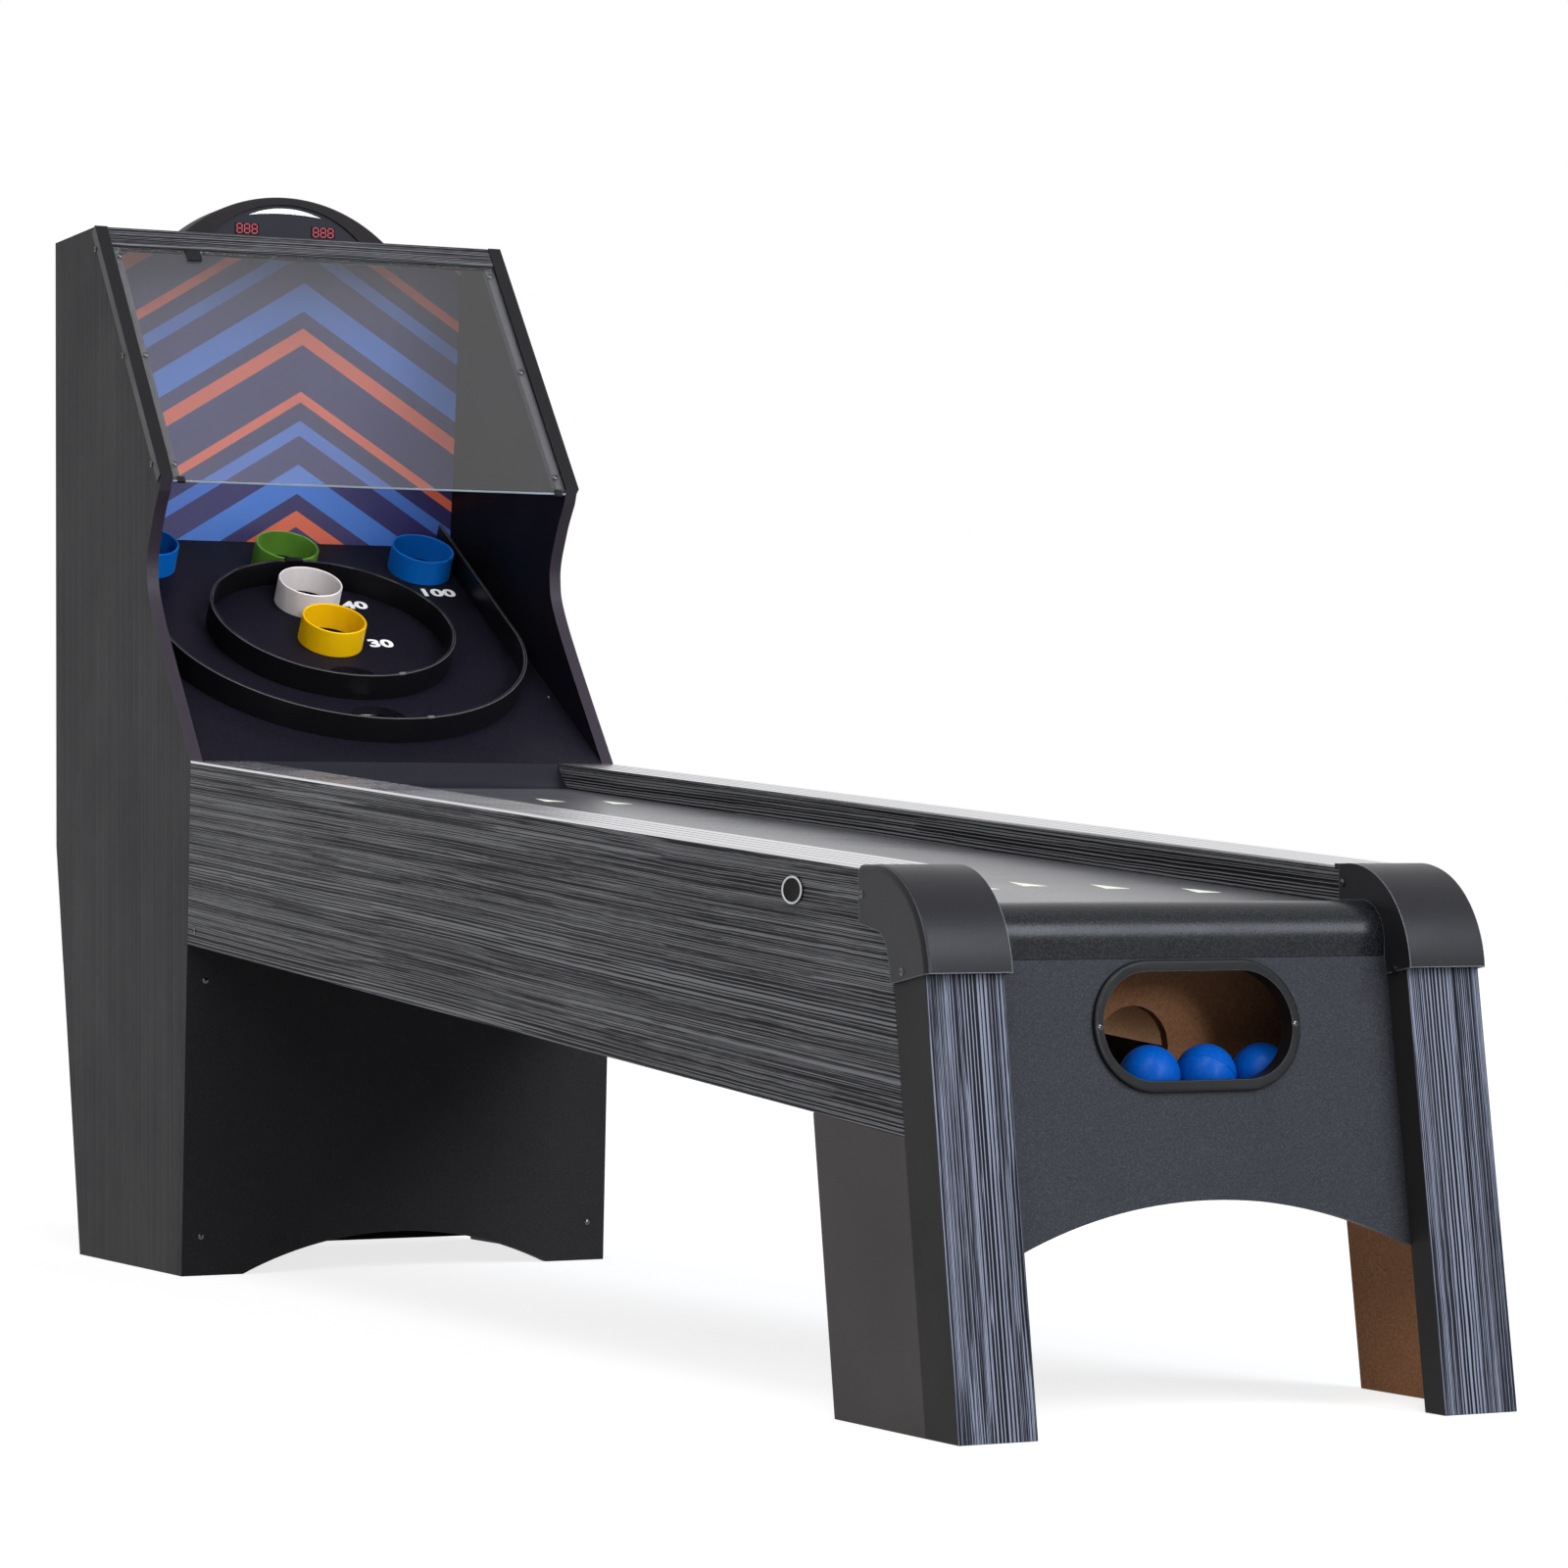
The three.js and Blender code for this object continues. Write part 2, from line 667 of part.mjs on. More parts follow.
// Bezel: a proud rounded flange and a sleeve through the apron
function bezelShape(length, height, grow) {
  return stadium(new THREE.Shape(), length + 2 * grow, height + 2 * grow, openingCentreZ);
}
const sleeve = bezelShape(bezelInnerLength, bezelInnerHeight, bezelWall);
const flangeBlank = bezelShape(bezelOuterLength, bezelOuterHeight, -bezelBevel);
const roundBevel = {
  bevelEnabled: true, bevelThickness: bezelBevel, bevelSize: bezelBevel, bevelSegments: 3,
};
const bezelBlank = toSolid(alongY(flangeBlank, -bezelProud + bezelBevel, bezelBevel, 14, roundBevel));
const keepFront = toSolid(alongY(
  rectangle(
    -bezelOuterLength, openingCentreZ - bezelOuterHeight, bezelOuterLength, openingCentreZ + bezelOuterHeight),
  -overrun, -fitGap));
const bezelHole = toSolid(alongY(bezelShape(bezelInnerLength, bezelInnerHeight, 0), -overrun, overrun, 14));
const bezelSleeve = toSolid(alongY(sleeve, -bezelProud + bezelBevel, boardThick, 14));
const bezelSolid = bezelBlank.intersect(keepFront).add(bezelSleeve).subtract(bezelHole);
const bezel = leaned(toGeometry(bezelSolid), legLean);
addMesh('return_bezel', bezel.translate(0, apronSetback, 0), looks.satinBlack);

// Leg posts: a folded board with a deep outer and a short inner return
for (const [side, sign] of sides) {
  const section = outline([
    [halfWidth, 0], [halfWidth, postDeep], [halfWidth - postThick, postDeep],
    [halfWidth - postThick, postThick], [postInner + postThick, postThick],
    [postInner + postThick, postReturn], [postInner, postReturn], [postInner, 0],
  ].map(([x, y]) => [sign * x, y]));
  addMesh(`leg_post_${side}`, leaned(extrude(section, postHeight), legLean), looks.blueLaminate);
  const plateTop = (y) => sideUnder(y) - fitGap;
  const plateFront = postDeep + fitGap;
  const plateFrontTopY = plateFront + legLean * plateTop(plateFront + legLean * plateTop(plateFront));
  const plate = outline([
    [plateFront, 0],
    [plateFront + plateFootLength, 0],
    [plateFrontTopY + plateTopLength, plateTop(plateFrontTopY + plateTopLength)],
    [plateFrontTopY, plateTop(plateFrontTopY)],
  ]);
  addMesh(`leg_plate_${side}`, alongX(plate, sign * boardInner, sign * halfWidth), looks.smoothGrey);
}

// Corner caps: a moulded saddle with bevelled rims over the board ends and the post top
function capProfile(inset) {
  const shape = new THREE.Shape();
  const radius = capRadius - inset;
  const centreY = capFootY + capRadius;
  shape.moveTo(capRearY + overrun, capTopZ - inset);
  shape.lineTo(centreY, capTopZ - inset);
  shape.absarc(centreY, capTopZ - capRadius, radius, Math.PI / 2, Math.PI, false);
  shape.lineTo(centreY - radius, capTopZ - capRadius - overrun);
  shape.lineTo(capRearY + overrun, capTopZ - capRadius - overrun);
  return shape;
}
const capOuter = halfWidth + capProud;
const capBevel = {
  bevelEnabled: true,
  bevelThickness: capBevelOut,
  bevelSize: capBevelIn,
  bevelOffset: -capBevelIn,
  bevelSegments: 3,
};
for (const [side, sign] of sides) {
  const blank = extrude(capProfile(0), capOuter - capInner, 14, capBevel).applyMatrix4(profileToX);
  const shiftX = sign > 0 ? capInner - capBevelOut : -capOuter + capBevelOut;
  const blankSolid = toSolid(blank.translate(shiftX, 0, 0));
  const cavity = toSolid(alongX(
    capProfile(capWall), sign * (laneHalf - fitGap), sign * (halfWidth + fitGap), 14));
  const cutZ = (y) => capFootZ - legLean * (y - capFootY);
  const outerKeep = new THREE.Shape();
  outerKeep.moveTo(0, cutZ(0));
  outerKeep.lineTo(capHeelY, cutZ(capHeelY));
  outerKeep.quadraticCurveTo(
    capHeelY + capHeelRound, capTopZ - capShoulderDrop - capHeelRound,
    capShoulderY, capTopZ - capShoulderDrop);
  outerKeep.lineTo(capRearY, capTopZ - capRearDrop);
  outerKeep.lineTo(capRearY, capTopZ + overrun);
  outerKeep.lineTo(0, capTopZ + overrun);
  const innerKeep = new THREE.Shape();
  innerKeep.moveTo(0, cutZ(0));
  innerKeep.lineTo(rollFrontY - capInnerNeck, cutZ(rollFrontY));
  innerKeep.lineTo(rollFrontY, rollBottomZ);
  innerKeep.lineTo(rollFrontY, rollTopZ - rollRadius);
  innerKeep.absarc(rollFrontY + rollRadius, rollTopZ - rollRadius, rollRadius, Math.PI, Math.PI / 2, true);
  innerKeep.lineTo(capInnerRearY, rollTopZ);
  innerKeep.lineTo(capInnerRearY, capTopZ + overrun);
  innerKeep.lineTo(0, capTopZ + overrun);
  const keepOut = toSolid(alongX(outerKeep, sign * (laneHalf - touchGap), sign * (capOuter + overrun), 8));
  const keepIn = toSolid(alongX(innerKeep, sign * capInner, sign * laneHalf, 8));
  const cap = blankSolid.subtract(cavity).intersect(keepOut.add(keepIn));
  addMesh(`corner_cap_${side}`, toGeometry(cap), looks.blackPlastic);
}

// Ball tray behind the apron with two end walls
const trayHalf = laneHalf - trayInset;
const trayFrontY = (z) => apronFrontY(z) + boardThick + fitGap;
const trayRearY = bulkheadY - fitGap;
const trayFloor = alongX(outline([
  [trayFrontY(trayTopZ), trayTopZ - floorThick], [trayRearY, trayTopZ - floorThick],
  [trayRearY, trayTopZ], [trayFrontY(trayTopZ), trayTopZ],
]), -trayHalf, trayHalf);
const trayWalls = sides.map(([, sign]) => alongX(outline([
  [trayFrontY(trayTopZ), trayTopZ - floorThick], [trayRearY, trayTopZ - floorThick],
  [trayRearY, trayTopZ + trayWallHeight], [trayFrontY(trayTopZ + trayWallHeight), trayTopZ + trayWallHeight],
]), sign * (trayHalf - floorThick), sign * trayHalf));
addMesh('ball_tray', joined(trayFloor, ...trayWalls), looks.mdf);

// Bulkhead with the round hole that lets the balls into the tray
const boardHalfFit = boardInner - fitGap;
const bulkheadTopZ = laneTop(bulkheadY) - laneThick - fitGap;
const bulkhead = rectangle(-boardHalfFit, trayTopZ - bulkheadUnder, boardHalfFit, bulkheadTopZ);
bulkhead.holes.push(circle(new THREE.Path(), 0, returnFloorZ + returnHoleRadius, returnHoleRadius));
addMesh('return_bulkhead', alongY(bulkhead, bulkheadY, bulkheadY + bulkheadThick, 10), looks.mdf);

// Return floor under the lane, with an open slot along each side board, and the collector under the targets
const returnHalf = boardHalfFit - returnSideGap;
const returnFrontY = bulkheadY + bulkheadThick + fitGap;
const returnRearY = cabinetY;
const returnTop = (y) => returnFloorZ + topSlope * (y - returnFrontY);
addMesh('return_floor', alongX(outline([
  [returnFrontY, returnTop(returnFrontY) - floorThick], [returnRearY, returnTop(returnRearY) - floorThick],
  [returnRearY, returnTop(returnRearY)], [returnFrontY, returnTop(returnFrontY)],
]), -returnHalf, returnHalf), looks.satinBlack);

const collectorFrontY = returnRearY + fitGap;
const collectorTop = (y) => returnTop(returnRearY) + collectorSlope * (y - collectorFrontY);
const collectorRearY = backY - panelThick - floorThick;
addMesh('collector_board', alongX(outline([
  [collectorFrontY, collectorTop(collectorFrontY) - floorThick],
  [collectorRearY, collectorTop(collectorRearY) - floorThick],
  [collectorRearY, collectorTop(collectorRearY)],
  [collectorFrontY, collectorTop(collectorFrontY)],
]), -insideHalf, insideHalf), looks.mdf);

// Balls resting on the tray
for (let i = 0; i < ballCount; i++) {
  const ball = new THREE.SphereGeometry(ballRadius, 20, 14).rotateX(Math.PI / 2);
  ball.translate(ballFirstX + i * ballPitch, ballRestY, trayTopZ + ballRadius + touchGap);
  addMesh(`ball_${i + 1}`, ball, looks.ball);
}

// Plain disc on the left side board
const disc = new THREE.CylinderGeometry(discRadius, discRadius, discThick, 28).rotateZ(Math.PI / 2);
addMesh('side_disc', disc.translate(-halfWidth - touchGap - discThick / 2, discY, discZ), looks.silver);

// Scorer: arched housing, recessed face, digit windows, crescent and a rear button
function archShape(half, rise, foot) {
  const r = archRadiusOf(half, rise);
  const span = Math.asin(half / r);
  const shape = new THREE.Shape();
  shape.moveTo(half, foot);
  shape.absarc(0, foot + rise - r, r, Math.PI / 2 - span, Math.PI / 2 + span, false);
  return shape;
}
const scorerY = backY - scorerBackInset;
const scorerZ = roofZ + touchGap;
const scorer = new THREE.Group();
scorer.position.set(0, scorerY, scorerZ);
model.add(scorer);

const housingBevel = {
  bevelEnabled: true,
  bevelThickness: scorerBevel,
  bevelSize: scorerBevel,
  bevelOffset: -scorerBevel,
  bevelSegments: 2,
};
const housingBlank = toSolid(alongY(
  archShape(scorerHalf, scorerRise, 0), scorerBevel, scorerDeep - scorerBevel, 20, housingBevel));
const recess = toSolid(alongY(
  archShape(faceHalf + faceEndGap, faceRise + faceTopGap, faceFoot - fitGap),
  -overrun, faceRecess + faceThick, 28));
const buttonBore = buttonRadius + fitGap;
const buttonHole = toSolid(new THREE.CylinderGeometry(buttonBore, buttonBore, 2 * buttonSeat, 20)
  .translate(buttonSide, scorerDeep, buttonUp));
const housing = toGeometry(housingBlank.subtract(recess).subtract(buttonHole));
addMesh('scorer_housing', housing, looks.blackPlastic, scorer);

const face = alongY(archShape(faceHalf, faceRise, faceFoot), faceRecess, faceRecess + faceThick - fitGap, 28);
addMesh('scorer_face', face, looks.slate, scorer);

const insertRearY = faceRecess - touchGap;
for (const [side, sign] of sides) {
  const low = sign * digitSide - digitWide / 2;
  addMesh(`scorer_display_${side}`, alongY(
    rectangle(low, digitUp, low + digitWide, digitUp + digitHigh),
    insertRearY - displayThick, insertRearY), looks.redDigit, scorer);
}

const crescentTopR = archRadiusOf(crescentHalf, crescentRise);
const crescentLowR = archRadiusOf(crescentHalf, crescentHollow);
const crescent = new THREE.Shape();
const topSpan = Math.asin(crescentHalf / crescentTopR);
const lowSpan = Math.asin(crescentHalf / crescentLowR);
crescent.absarc(0, crescentUp + crescentRise - crescentTopR, crescentTopR,
  Math.PI / 2 - topSpan, Math.PI / 2 + topSpan, false);
crescent.absarc(0, crescentUp + crescentHollow - crescentLowR, crescentLowR,
  Math.PI / 2 + lowSpan, Math.PI / 2 - lowSpan, true);
addMesh('scorer_crescent_trim', alongY(
  crescent, insertRearY - displayThick, insertRearY, 14), looks.silver, scorer);

addMesh('scorer_button', new THREE.CylinderGeometry(buttonRadius, buttonRadius, buttonIn + buttonOut, 20)
  .translate(buttonSide, scorerDeep + (buttonOut - buttonIn) / 2, buttonUp), looks.slate, scorer);

// The part stands on the ground, centred between its feet and its back
model.position.set(0, -backY / 2, 0);
export default group;
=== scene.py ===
import json
import math
import bpy
from mathutils import Matrix, Vector


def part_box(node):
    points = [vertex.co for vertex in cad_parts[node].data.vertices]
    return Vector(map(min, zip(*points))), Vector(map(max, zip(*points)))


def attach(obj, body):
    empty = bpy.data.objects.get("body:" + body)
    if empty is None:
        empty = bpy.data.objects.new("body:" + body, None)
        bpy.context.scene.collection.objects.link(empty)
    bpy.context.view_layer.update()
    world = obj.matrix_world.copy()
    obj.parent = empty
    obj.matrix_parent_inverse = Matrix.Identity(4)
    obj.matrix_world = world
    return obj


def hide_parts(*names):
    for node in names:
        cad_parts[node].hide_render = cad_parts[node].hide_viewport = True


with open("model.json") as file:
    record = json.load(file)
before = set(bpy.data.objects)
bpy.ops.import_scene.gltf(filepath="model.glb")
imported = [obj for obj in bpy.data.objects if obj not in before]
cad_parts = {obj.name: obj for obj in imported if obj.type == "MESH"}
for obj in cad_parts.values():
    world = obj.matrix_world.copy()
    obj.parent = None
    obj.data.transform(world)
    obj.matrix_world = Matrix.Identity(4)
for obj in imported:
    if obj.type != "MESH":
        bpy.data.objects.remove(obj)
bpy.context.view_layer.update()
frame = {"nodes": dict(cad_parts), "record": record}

nodes = frame["nodes"]
feetToMiddle = 1.37715  # from the front feet to the middle of the length, in metres
laneRise = 4.585  # slope of the lane, in degrees
slope = math.radians(laneRise)
sides = (("left", -1), ("right", 1))
print("frame loaded,", len(nodes), "nodes")


def at(x, y, z):
    # millimetres measured from the front feet
    return Vector((x / 1000, y / 1000 - feetToMiddle, z / 1000))


def bodyOf(nodeName):
    for body, members in frame["record"]["behaviour"]["bodies"].items():
        if nodeName in members:
            return body


# camera and lamps

cameraSet = {
    "place": (-2.3375, -5.22135, 0.5036),
    "azimuth": 25.811,
    "elevation": 1.317,
    "roll": -0.285,
    "lens": 109.357,
    "sensor": 36,
    "farthest": 100,
}


def addCamera(s):
    az, el, roll = (math.radians(s[k]) for k in ("azimuth", "elevation", "roll"))
    ahead = Vector((math.sin(az) * math.cos(el), math.cos(az) * math.cos(el), math.sin(el)))
    right = ahead.cross(Vector((0, 0, 1))).normalized()
    up = right.cross(ahead)
    side = right * math.cos(roll) + up * math.sin(roll)
    top = up * math.cos(roll) - right * math.sin(roll)
    turn = Matrix((side, top, -ahead)).transposed().to_4x4()
    data = bpy.data.cameras.new("photoCamera")
    data.lens = s["lens"]
    data.sensor_width = s["sensor"]
    data.clip_end = s["farthest"]
    camera = bpy.data.objects.new("photoCamera", data)
    camera.matrix_world = Matrix.Translation(s["place"]) @ turn
    bpy.context.scene.collection.objects.link(camera)
    bpy.context.scene.camera = camera


lampSet = {
    "left": {"turn": (55, 0, -42), "strength": 0.75, "spread": 30, "tint": (1, 0.99, 0.97)},
    "front": {"turn": (56, 0, 27), "strength": 2.05, "spread": 30, "tint": (0.84, 0.90, 1)},
    "low": {"turn": (78, 0, 10), "strength": 1.0, "spread": 14, "tint": (1, 0.98, 0.95)},
    "top": {"turn": (30, 0, -24), "strength": 0.95, "spread": 20, "tint": (1, 1, 1)},
}


def addLamps(settings):
    for name, s in settings.items():
        data = bpy.data.lights.new(name, 'SUN')
        data.energy = s["strength"]
        data.angle = math.radians(s["spread"])
        data.color = s["tint"]
        lamp = bpy.data.objects.new(name, data)
        lamp.rotation_euler = [math.radians(a) for a in s["turn"]]
        bpy.context.scene.collection.objects.link(lamp)


# material helpers

def addNode(tree, kind, inputs=None, **settings):
    node = tree.nodes.new(kind)
    for key, value in settings.items():
        setattr(node, key, value)
    for key, value in (inputs or {}).items():
        socket = node.inputs[key]
        if isinstance(value, bpy.types.NodeSocket):
            tree.links.new(value, socket)
        else:
            socket.default_value = value
    return node


def mathNode(tree, operation, *values, clamp=False):
    node = addNode(tree, 'ShaderNodeMath', dict(enumerate(values)), operation=operation)
    node.use_clamp = clamp
    return node.outputs[0]


def centred(tree, value):
    # a noise around zero
    return mathNode(tree, 'SUBTRACT', value, 0.5)


def vectorMath(tree, operation, a, b):
    return addNode(tree, 'ShaderNodeVectorMath', {0: a, 1: b}, operation=operation).outputs[0]


def turnedBy(tree, vector, degrees):
    turn = [math.radians(a) for a in degrees]
    return addNode(tree, 'ShaderNodeMapping', {"Vector": vector, "Rotation": turn}).outputs[0]


def noise(tree, vector, scale, detail, roughness=0.5, stretch=None):
    # a small number in stretch draws the noise out along that axis
    if stretch:
        vector = vectorMath(tree, 'MULTIPLY', vector, stretch)
    sockets = {"Vector": vector, "Scale": scale, "Detail": detail, "Roughness": roughness}
    return addNode(tree, 'ShaderNodeTexNoise', sockets).outputs[0]


def mixColour(tree, factor, a, b):
    return addNode(tree, 'ShaderNodeMix', {0: factor, 6: a, 7: b}, data_type='RGBA').outputs[2]


def ramp(tree, value, stops, interpolation='LINEAR'):
    node = addNode(tree, 'ShaderNodeValToRGB', {0: value})
    node.color_ramp.interpolation = interpolation
    marks = node.color_ramp.elements
    while len(marks) < len(stops):
        marks.new(0.5)
    for mark, (stop, colour) in zip(marks, stops):
        mark.position = stop
        mark.color = rgb(colour)
    return node.outputs[0]


def newGroup(name, inputs, outputs):
    tree = bpy.data.node_groups.new(name, 'ShaderNodeTree')
    kinds = {"vector": 'NodeSocketVector', "value": 'NodeSocketFloat'}
    for label, kind, value in inputs:
        socket = tree.interface.new_socket(name=label, in_out='INPUT', socket_type=kinds[kind])
        if value is not None:
            socket.default_value = value
    for label in outputs:
        tree.interface.new_socket(name=label, in_out='OUTPUT', socket_type=kinds["value"])
    return tree, tree.nodes.new('NodeGroupInput').outputs, tree.nodes.new('NodeGroupOutput').inputs


def place(tree, group, inputs):
    return addNode(tree, 'ShaderNodeGroup', inputs, node_tree=group).outputs


def rgb(colour):
    return (*colour, 1)


# shared node groups

# the layers of noise in the grain, the even waves across it, and how much each counts
grainSet = {
    "wander": {"scale": 1, "detail": 1, "stretch": (0.8, 0.8, 1.2)},
    "ripple": {"scale": 1, "detail": 1, "stretch": (12, 12, 14)},
    "rippleWidth": 0.0010,
    "fine": {"detail": 2, "roughness": 0.55, "stretch": (1, 1, 0.0014)},
    "rare": {"detail": 0, "stretch": (0.42, 0.42, 0.0006)},
    "broad": {"detail": 1, "stretch": (0.07, 0.07, 0.0008)},
    "micro": {"scale": 800, "detail": 2, "stretch": (1, 1, 0.06)},
    "thinWave": {"rate": 1.5, "wobble": 3.0, "depth": 0.12},
    "quickWave": {"rate": 2.23, "wobble": 9.0, "depth": 0.08},
    "boldWave": {"rate": 1, "wobble": 0.9, "depth": 0.30},
    "fineDepth": 0.45,
    "leastLevel": 0.5,
    "darkGain": -5.0,
    "lightGain": 3.6,
    "peakStart": 0.72,
    "peakGain": 9.0,
}


def lineWave(tree, turns, pusher, rate, wobble, depth):
    # even lines, pushed about by a noise
    pushed = mathNode(tree, 'MULTIPLY_ADD', turns, rate, mathNode(tree, 'MULTIPLY', pusher, wobble))
    wave = mathNode(tree, 'SINE', mathNode(tree, 'MULTIPLY', pushed, 2 * math.pi))
    return mathNode(tree, 'MULTIPLY', wave, depth)


def makeGrainLines(s):
    # pressed wood lines that run along the incoming Z, with bold even lines where Bold is up
    tree, i, o = newGroup("grainLines", [
        ("Vector", "vector", None), ("Across", "value", 0), ("Lines", "value", 400),
        ("Pitch", "value", 0.0044), ("Drift", "value", 0.006), ("Contrast", "value", 1),
        ("Micro", "value", 0.3), ("Bold", "value", 0),
    ], ["Dark", "Light", "Height"])
    swerve = mathNode(tree, 'MULTIPLY', centred(tree, noise(tree, i["Vector"], **s["wander"])), i["Drift"])
    ripple = centred(tree, noise(tree, i["Vector"], **s["ripple"]))
    shiver = mathNode(tree, 'MULTIPLY_ADD', ripple, s["rippleWidth"], swerve)
    push = addNode(tree, 'ShaderNodeCombineXYZ', {0: shiver, 1: shiver}).outputs[0]
    moved = vectorMath(tree, 'ADD', i["Vector"], push)
    fine, rare, broad = (noise(tree, moved, i["Lines"], **s[layer]) for layer in ("fine", "rare", "broad"))
    turns = mathNode(tree, 'DIVIDE', mathNode(tree, 'ADD', i["Across"], shiver), i["Pitch"])
    thin = lineWave(tree, turns, rare, **s["thinWave"])
    waves = mathNode(tree, 'ADD', thin, lineWave(tree, turns, broad, **s["quickWave"]))
    mixed = mathNode(tree, 'MULTIPLY_ADD', centred(tree, fine), s["fineDepth"], waves)
    level = mathNode(tree, 'ADD', broad, s["leastLevel"])
    swing = mathNode(tree, 'MULTIPLY', mathNode(tree, 'MULTIPLY', mixed, i["Contrast"]), level)
    specks = mathNode(tree, 'MULTIPLY', centred(tree, noise(tree, moved, **s["micro"])), i["Micro"])
    strong = mathNode(tree, 'MULTIPLY', lineWave(tree, turns, rare, **s["boldWave"]), i["Bold"])
    total = mathNode(tree, 'ADD', mathNode(tree, 'ADD', swing, specks), strong)
    peak = mathNode(tree, 'SUBTRACT', rare, s["peakStart"])
    peak = mathNode(tree, 'MULTIPLY', peak, s["peakGain"], clamp=True)
    peak = mathNode(tree, 'MULTIPLY', peak, i["Contrast"])
    tree.links.new(mathNode(tree, 'MULTIPLY', total, s["darkGain"], clamp=True), o["Dark"])
    tree.links.new(mathNode(tree, 'MULTIPLY_ADD', total, s["lightGain"], peak, clamp=True), o["Light"])
    tree.links.new(total, o["Height"])
    return tree


def makeLineBundle(fall=1.4):
    # where the bold lines gather, across the board
    inputs = [("Across", "value", 0), ("Middle", "value", 0), ("Half", "value", 0.02)]
    tree, i, o = newGroup("lineBundle", inputs, ["Mask"])
    off = mathNode(tree, 'ABSOLUTE', mathNode(tree, 'SUBTRACT', i["Across"], i["Middle"]))
    share = mathNode(tree, 'SUBTRACT', 1.0, mathNode(tree, 'DIVIDE', off, i["Half"]), clamp=True)
    tree.links.new(mathNode(tree, 'POWER', share, fall), o["Mask"])
    return tree


def makePebble(spotStart=0.44, spotGain=5.0):
    # fine moulded pebble
    inputs = [("Vector", "vector", None), ("Grains", "value", 900)]
    tree, i, o = newGroup("pebble", inputs, ["Height", "Spots"])
    sockets = {"Vector": i["Vector"], "Scale": i["Grains"]}
    cells = addNode(tree, 'ShaderNodeTexVoronoi', sockets, feature='SMOOTH_F1')
    cloud = noise(tree, i["Vector"], i["Grains"], detail=2)
    spots = mathNode(tree, 'SUBTRACT', cloud, spotStart)
    tree.links.new(mathNode(tree, 'ADD', cells.outputs["Distance"], cloud), o["Height"])
    tree.links.new(mathNode(tree, 'MULTIPLY', spots, spotGain, clamp=True), o["Spots"])
    return tree


def makeSmudge(gain=2.0, cut=0.5):
    # slow change of gloss and a little dust
    tree, i, o = newGroup("smudge", [("Vector", "vector", None), ("Size", "value", 6)], ["Value"])
    cloud = noise(tree, i["Vector"], i["Size"], detail=4, roughness=0.6)
    cloud = mathNode(tree, 'MULTIPLY', cloud, gain)
    tree.links.new(mathNode(tree, 'SUBTRACT', cloud, cut, clamp=True), o["Value"])
    return tree


def makePaintedEdgeHighlight():
    # painted highlight along edges: a lighter colour where the surface turns close by, standing in for light
    # caught by the rounded edges
    tree, i, o = newGroup("edgeWear", [("Reach", "value", 0.0012), ("Gain", "value", 3)], ["Mask"])
    rounded = addNode(tree, 'ShaderNodeBevel', {"Radius": i["Reach"]}, samples=4).outputs[0]
    true = addNode(tree, 'ShaderNodeNewGeometry').outputs["Normal"]
    match = addNode(tree, 'ShaderNodeVectorMath', {0: rounded, 1: true}, operation='DOT_PRODUCT')
    turned = mathNode(tree, 'SUBTRACT', 1.0, match.outputs["Value"])
    tree.links.new(mathNode(tree, 'MULTIPLY', turned, i["Gain"], clamp=True), o["Mask"])
    return tree


grainLines = makeGrainLines(grainSet)
lineBundle = makeLineBundle()
pebble = makePebble()
smudge = makeSmudge()
edgeWear = makePaintedEdgeHighlight()
print("node groups made")


# materials

def startMaterial(name, roughness, **sockets):
    material = bpy.data.materials.new(name)
    material.use_nodes = True
    tree = material.node_tree
    shader = tree.nodes["Principled BSDF"]
    shader.inputs["Roughness"].default_value = roughness
    for key, value in sockets.items():
        shader.inputs[key.replace("_", " ")].default_value = value
    where = addNode(tree, 'ShaderNodeTexCoord').outputs["Object"]
    return material, tree, shader, where


def addBump(tree, shader, height, strength, depth=0.0003):
    bump = addNode(tree, 'ShaderNodeBump', {"Height": height, "Strength": strength, "Distance": depth})
    tree.links.new(bump.outputs[0], shader.inputs["Normal"])


def roughPatches(tree, shader, where, rough, size, swing):
    # slow change of roughness about its middle value; gives back the patches
    patches = place(tree, smudge, {"Vector": where, "Size": size})["Value"]
    change = mathNode(tree, 'MULTIPLY_ADD', patches, swing, rough - swing / 2)
    tree.links.new(change, shader.inputs["Roughness"])
    return patches


# mixes in a lighter colour along edges: a painted highlight
def paintEdgeHighlight(tree, colour, edge, reach, gain):
    highlightMask = place(tree, edgeWear, {"Reach": reach, "Gain": gain})["Mask"]
    return mixColour(tree, highlightMask, colour, rgb(edge))


def laminate(name, s):
    # wood-grain laminate; bundles are the place, half width and strength of the bold lines
    material, tree, shader, where = startMaterial(name, s["rough"], Specular_IOR_Level=s["shine"])
    along = turnedBy(tree, vectorMath(tree, 'MULTIPLY', where, s["flat"]), s["turn"])
    across = addNode(tree, 'ShaderNodeSeparateXYZ', {0: along}).outputs[s["across"]]
    if s["mirrored"]:
        across = mathNode(tree, 'ABSOLUTE', across)
    bold = 0.0
    for middle, half, strength in s["bundles"]:
        mask = place(tree, lineBundle, {"Across": across, "Middle": middle, "Half": half})["Mask"]
        bold = mathNode(tree, 'MULTIPLY_ADD', mask, strength, bold)
    values = {key.capitalize(): s[key] for key in ("lines", "pitch", "drift", "contrast", "micro")}
    grain = place(tree, grainLines, {"Vector": along, "Across": across, "Bold": bold, **values})
    colour = mixColour(tree, grain["Dark"], rgb(s["base"]), rgb(s["dark"]))
    colour = mixColour(tree, grain["Light"], colour, rgb(s["light"]))
    # the edge colour is a painted highlight along the rounded edges
    colour = paintEdgeHighlight(tree, colour, s["edge"], s["reach"], s["gain"])
    tree.links.new(colour, shader.inputs["Base Color"])
    roughPatches(tree, shader, where, s["rough"], size=5, swing=0.12)
    addBump(tree, shader, grain["Height"], s["bump"])
    return material


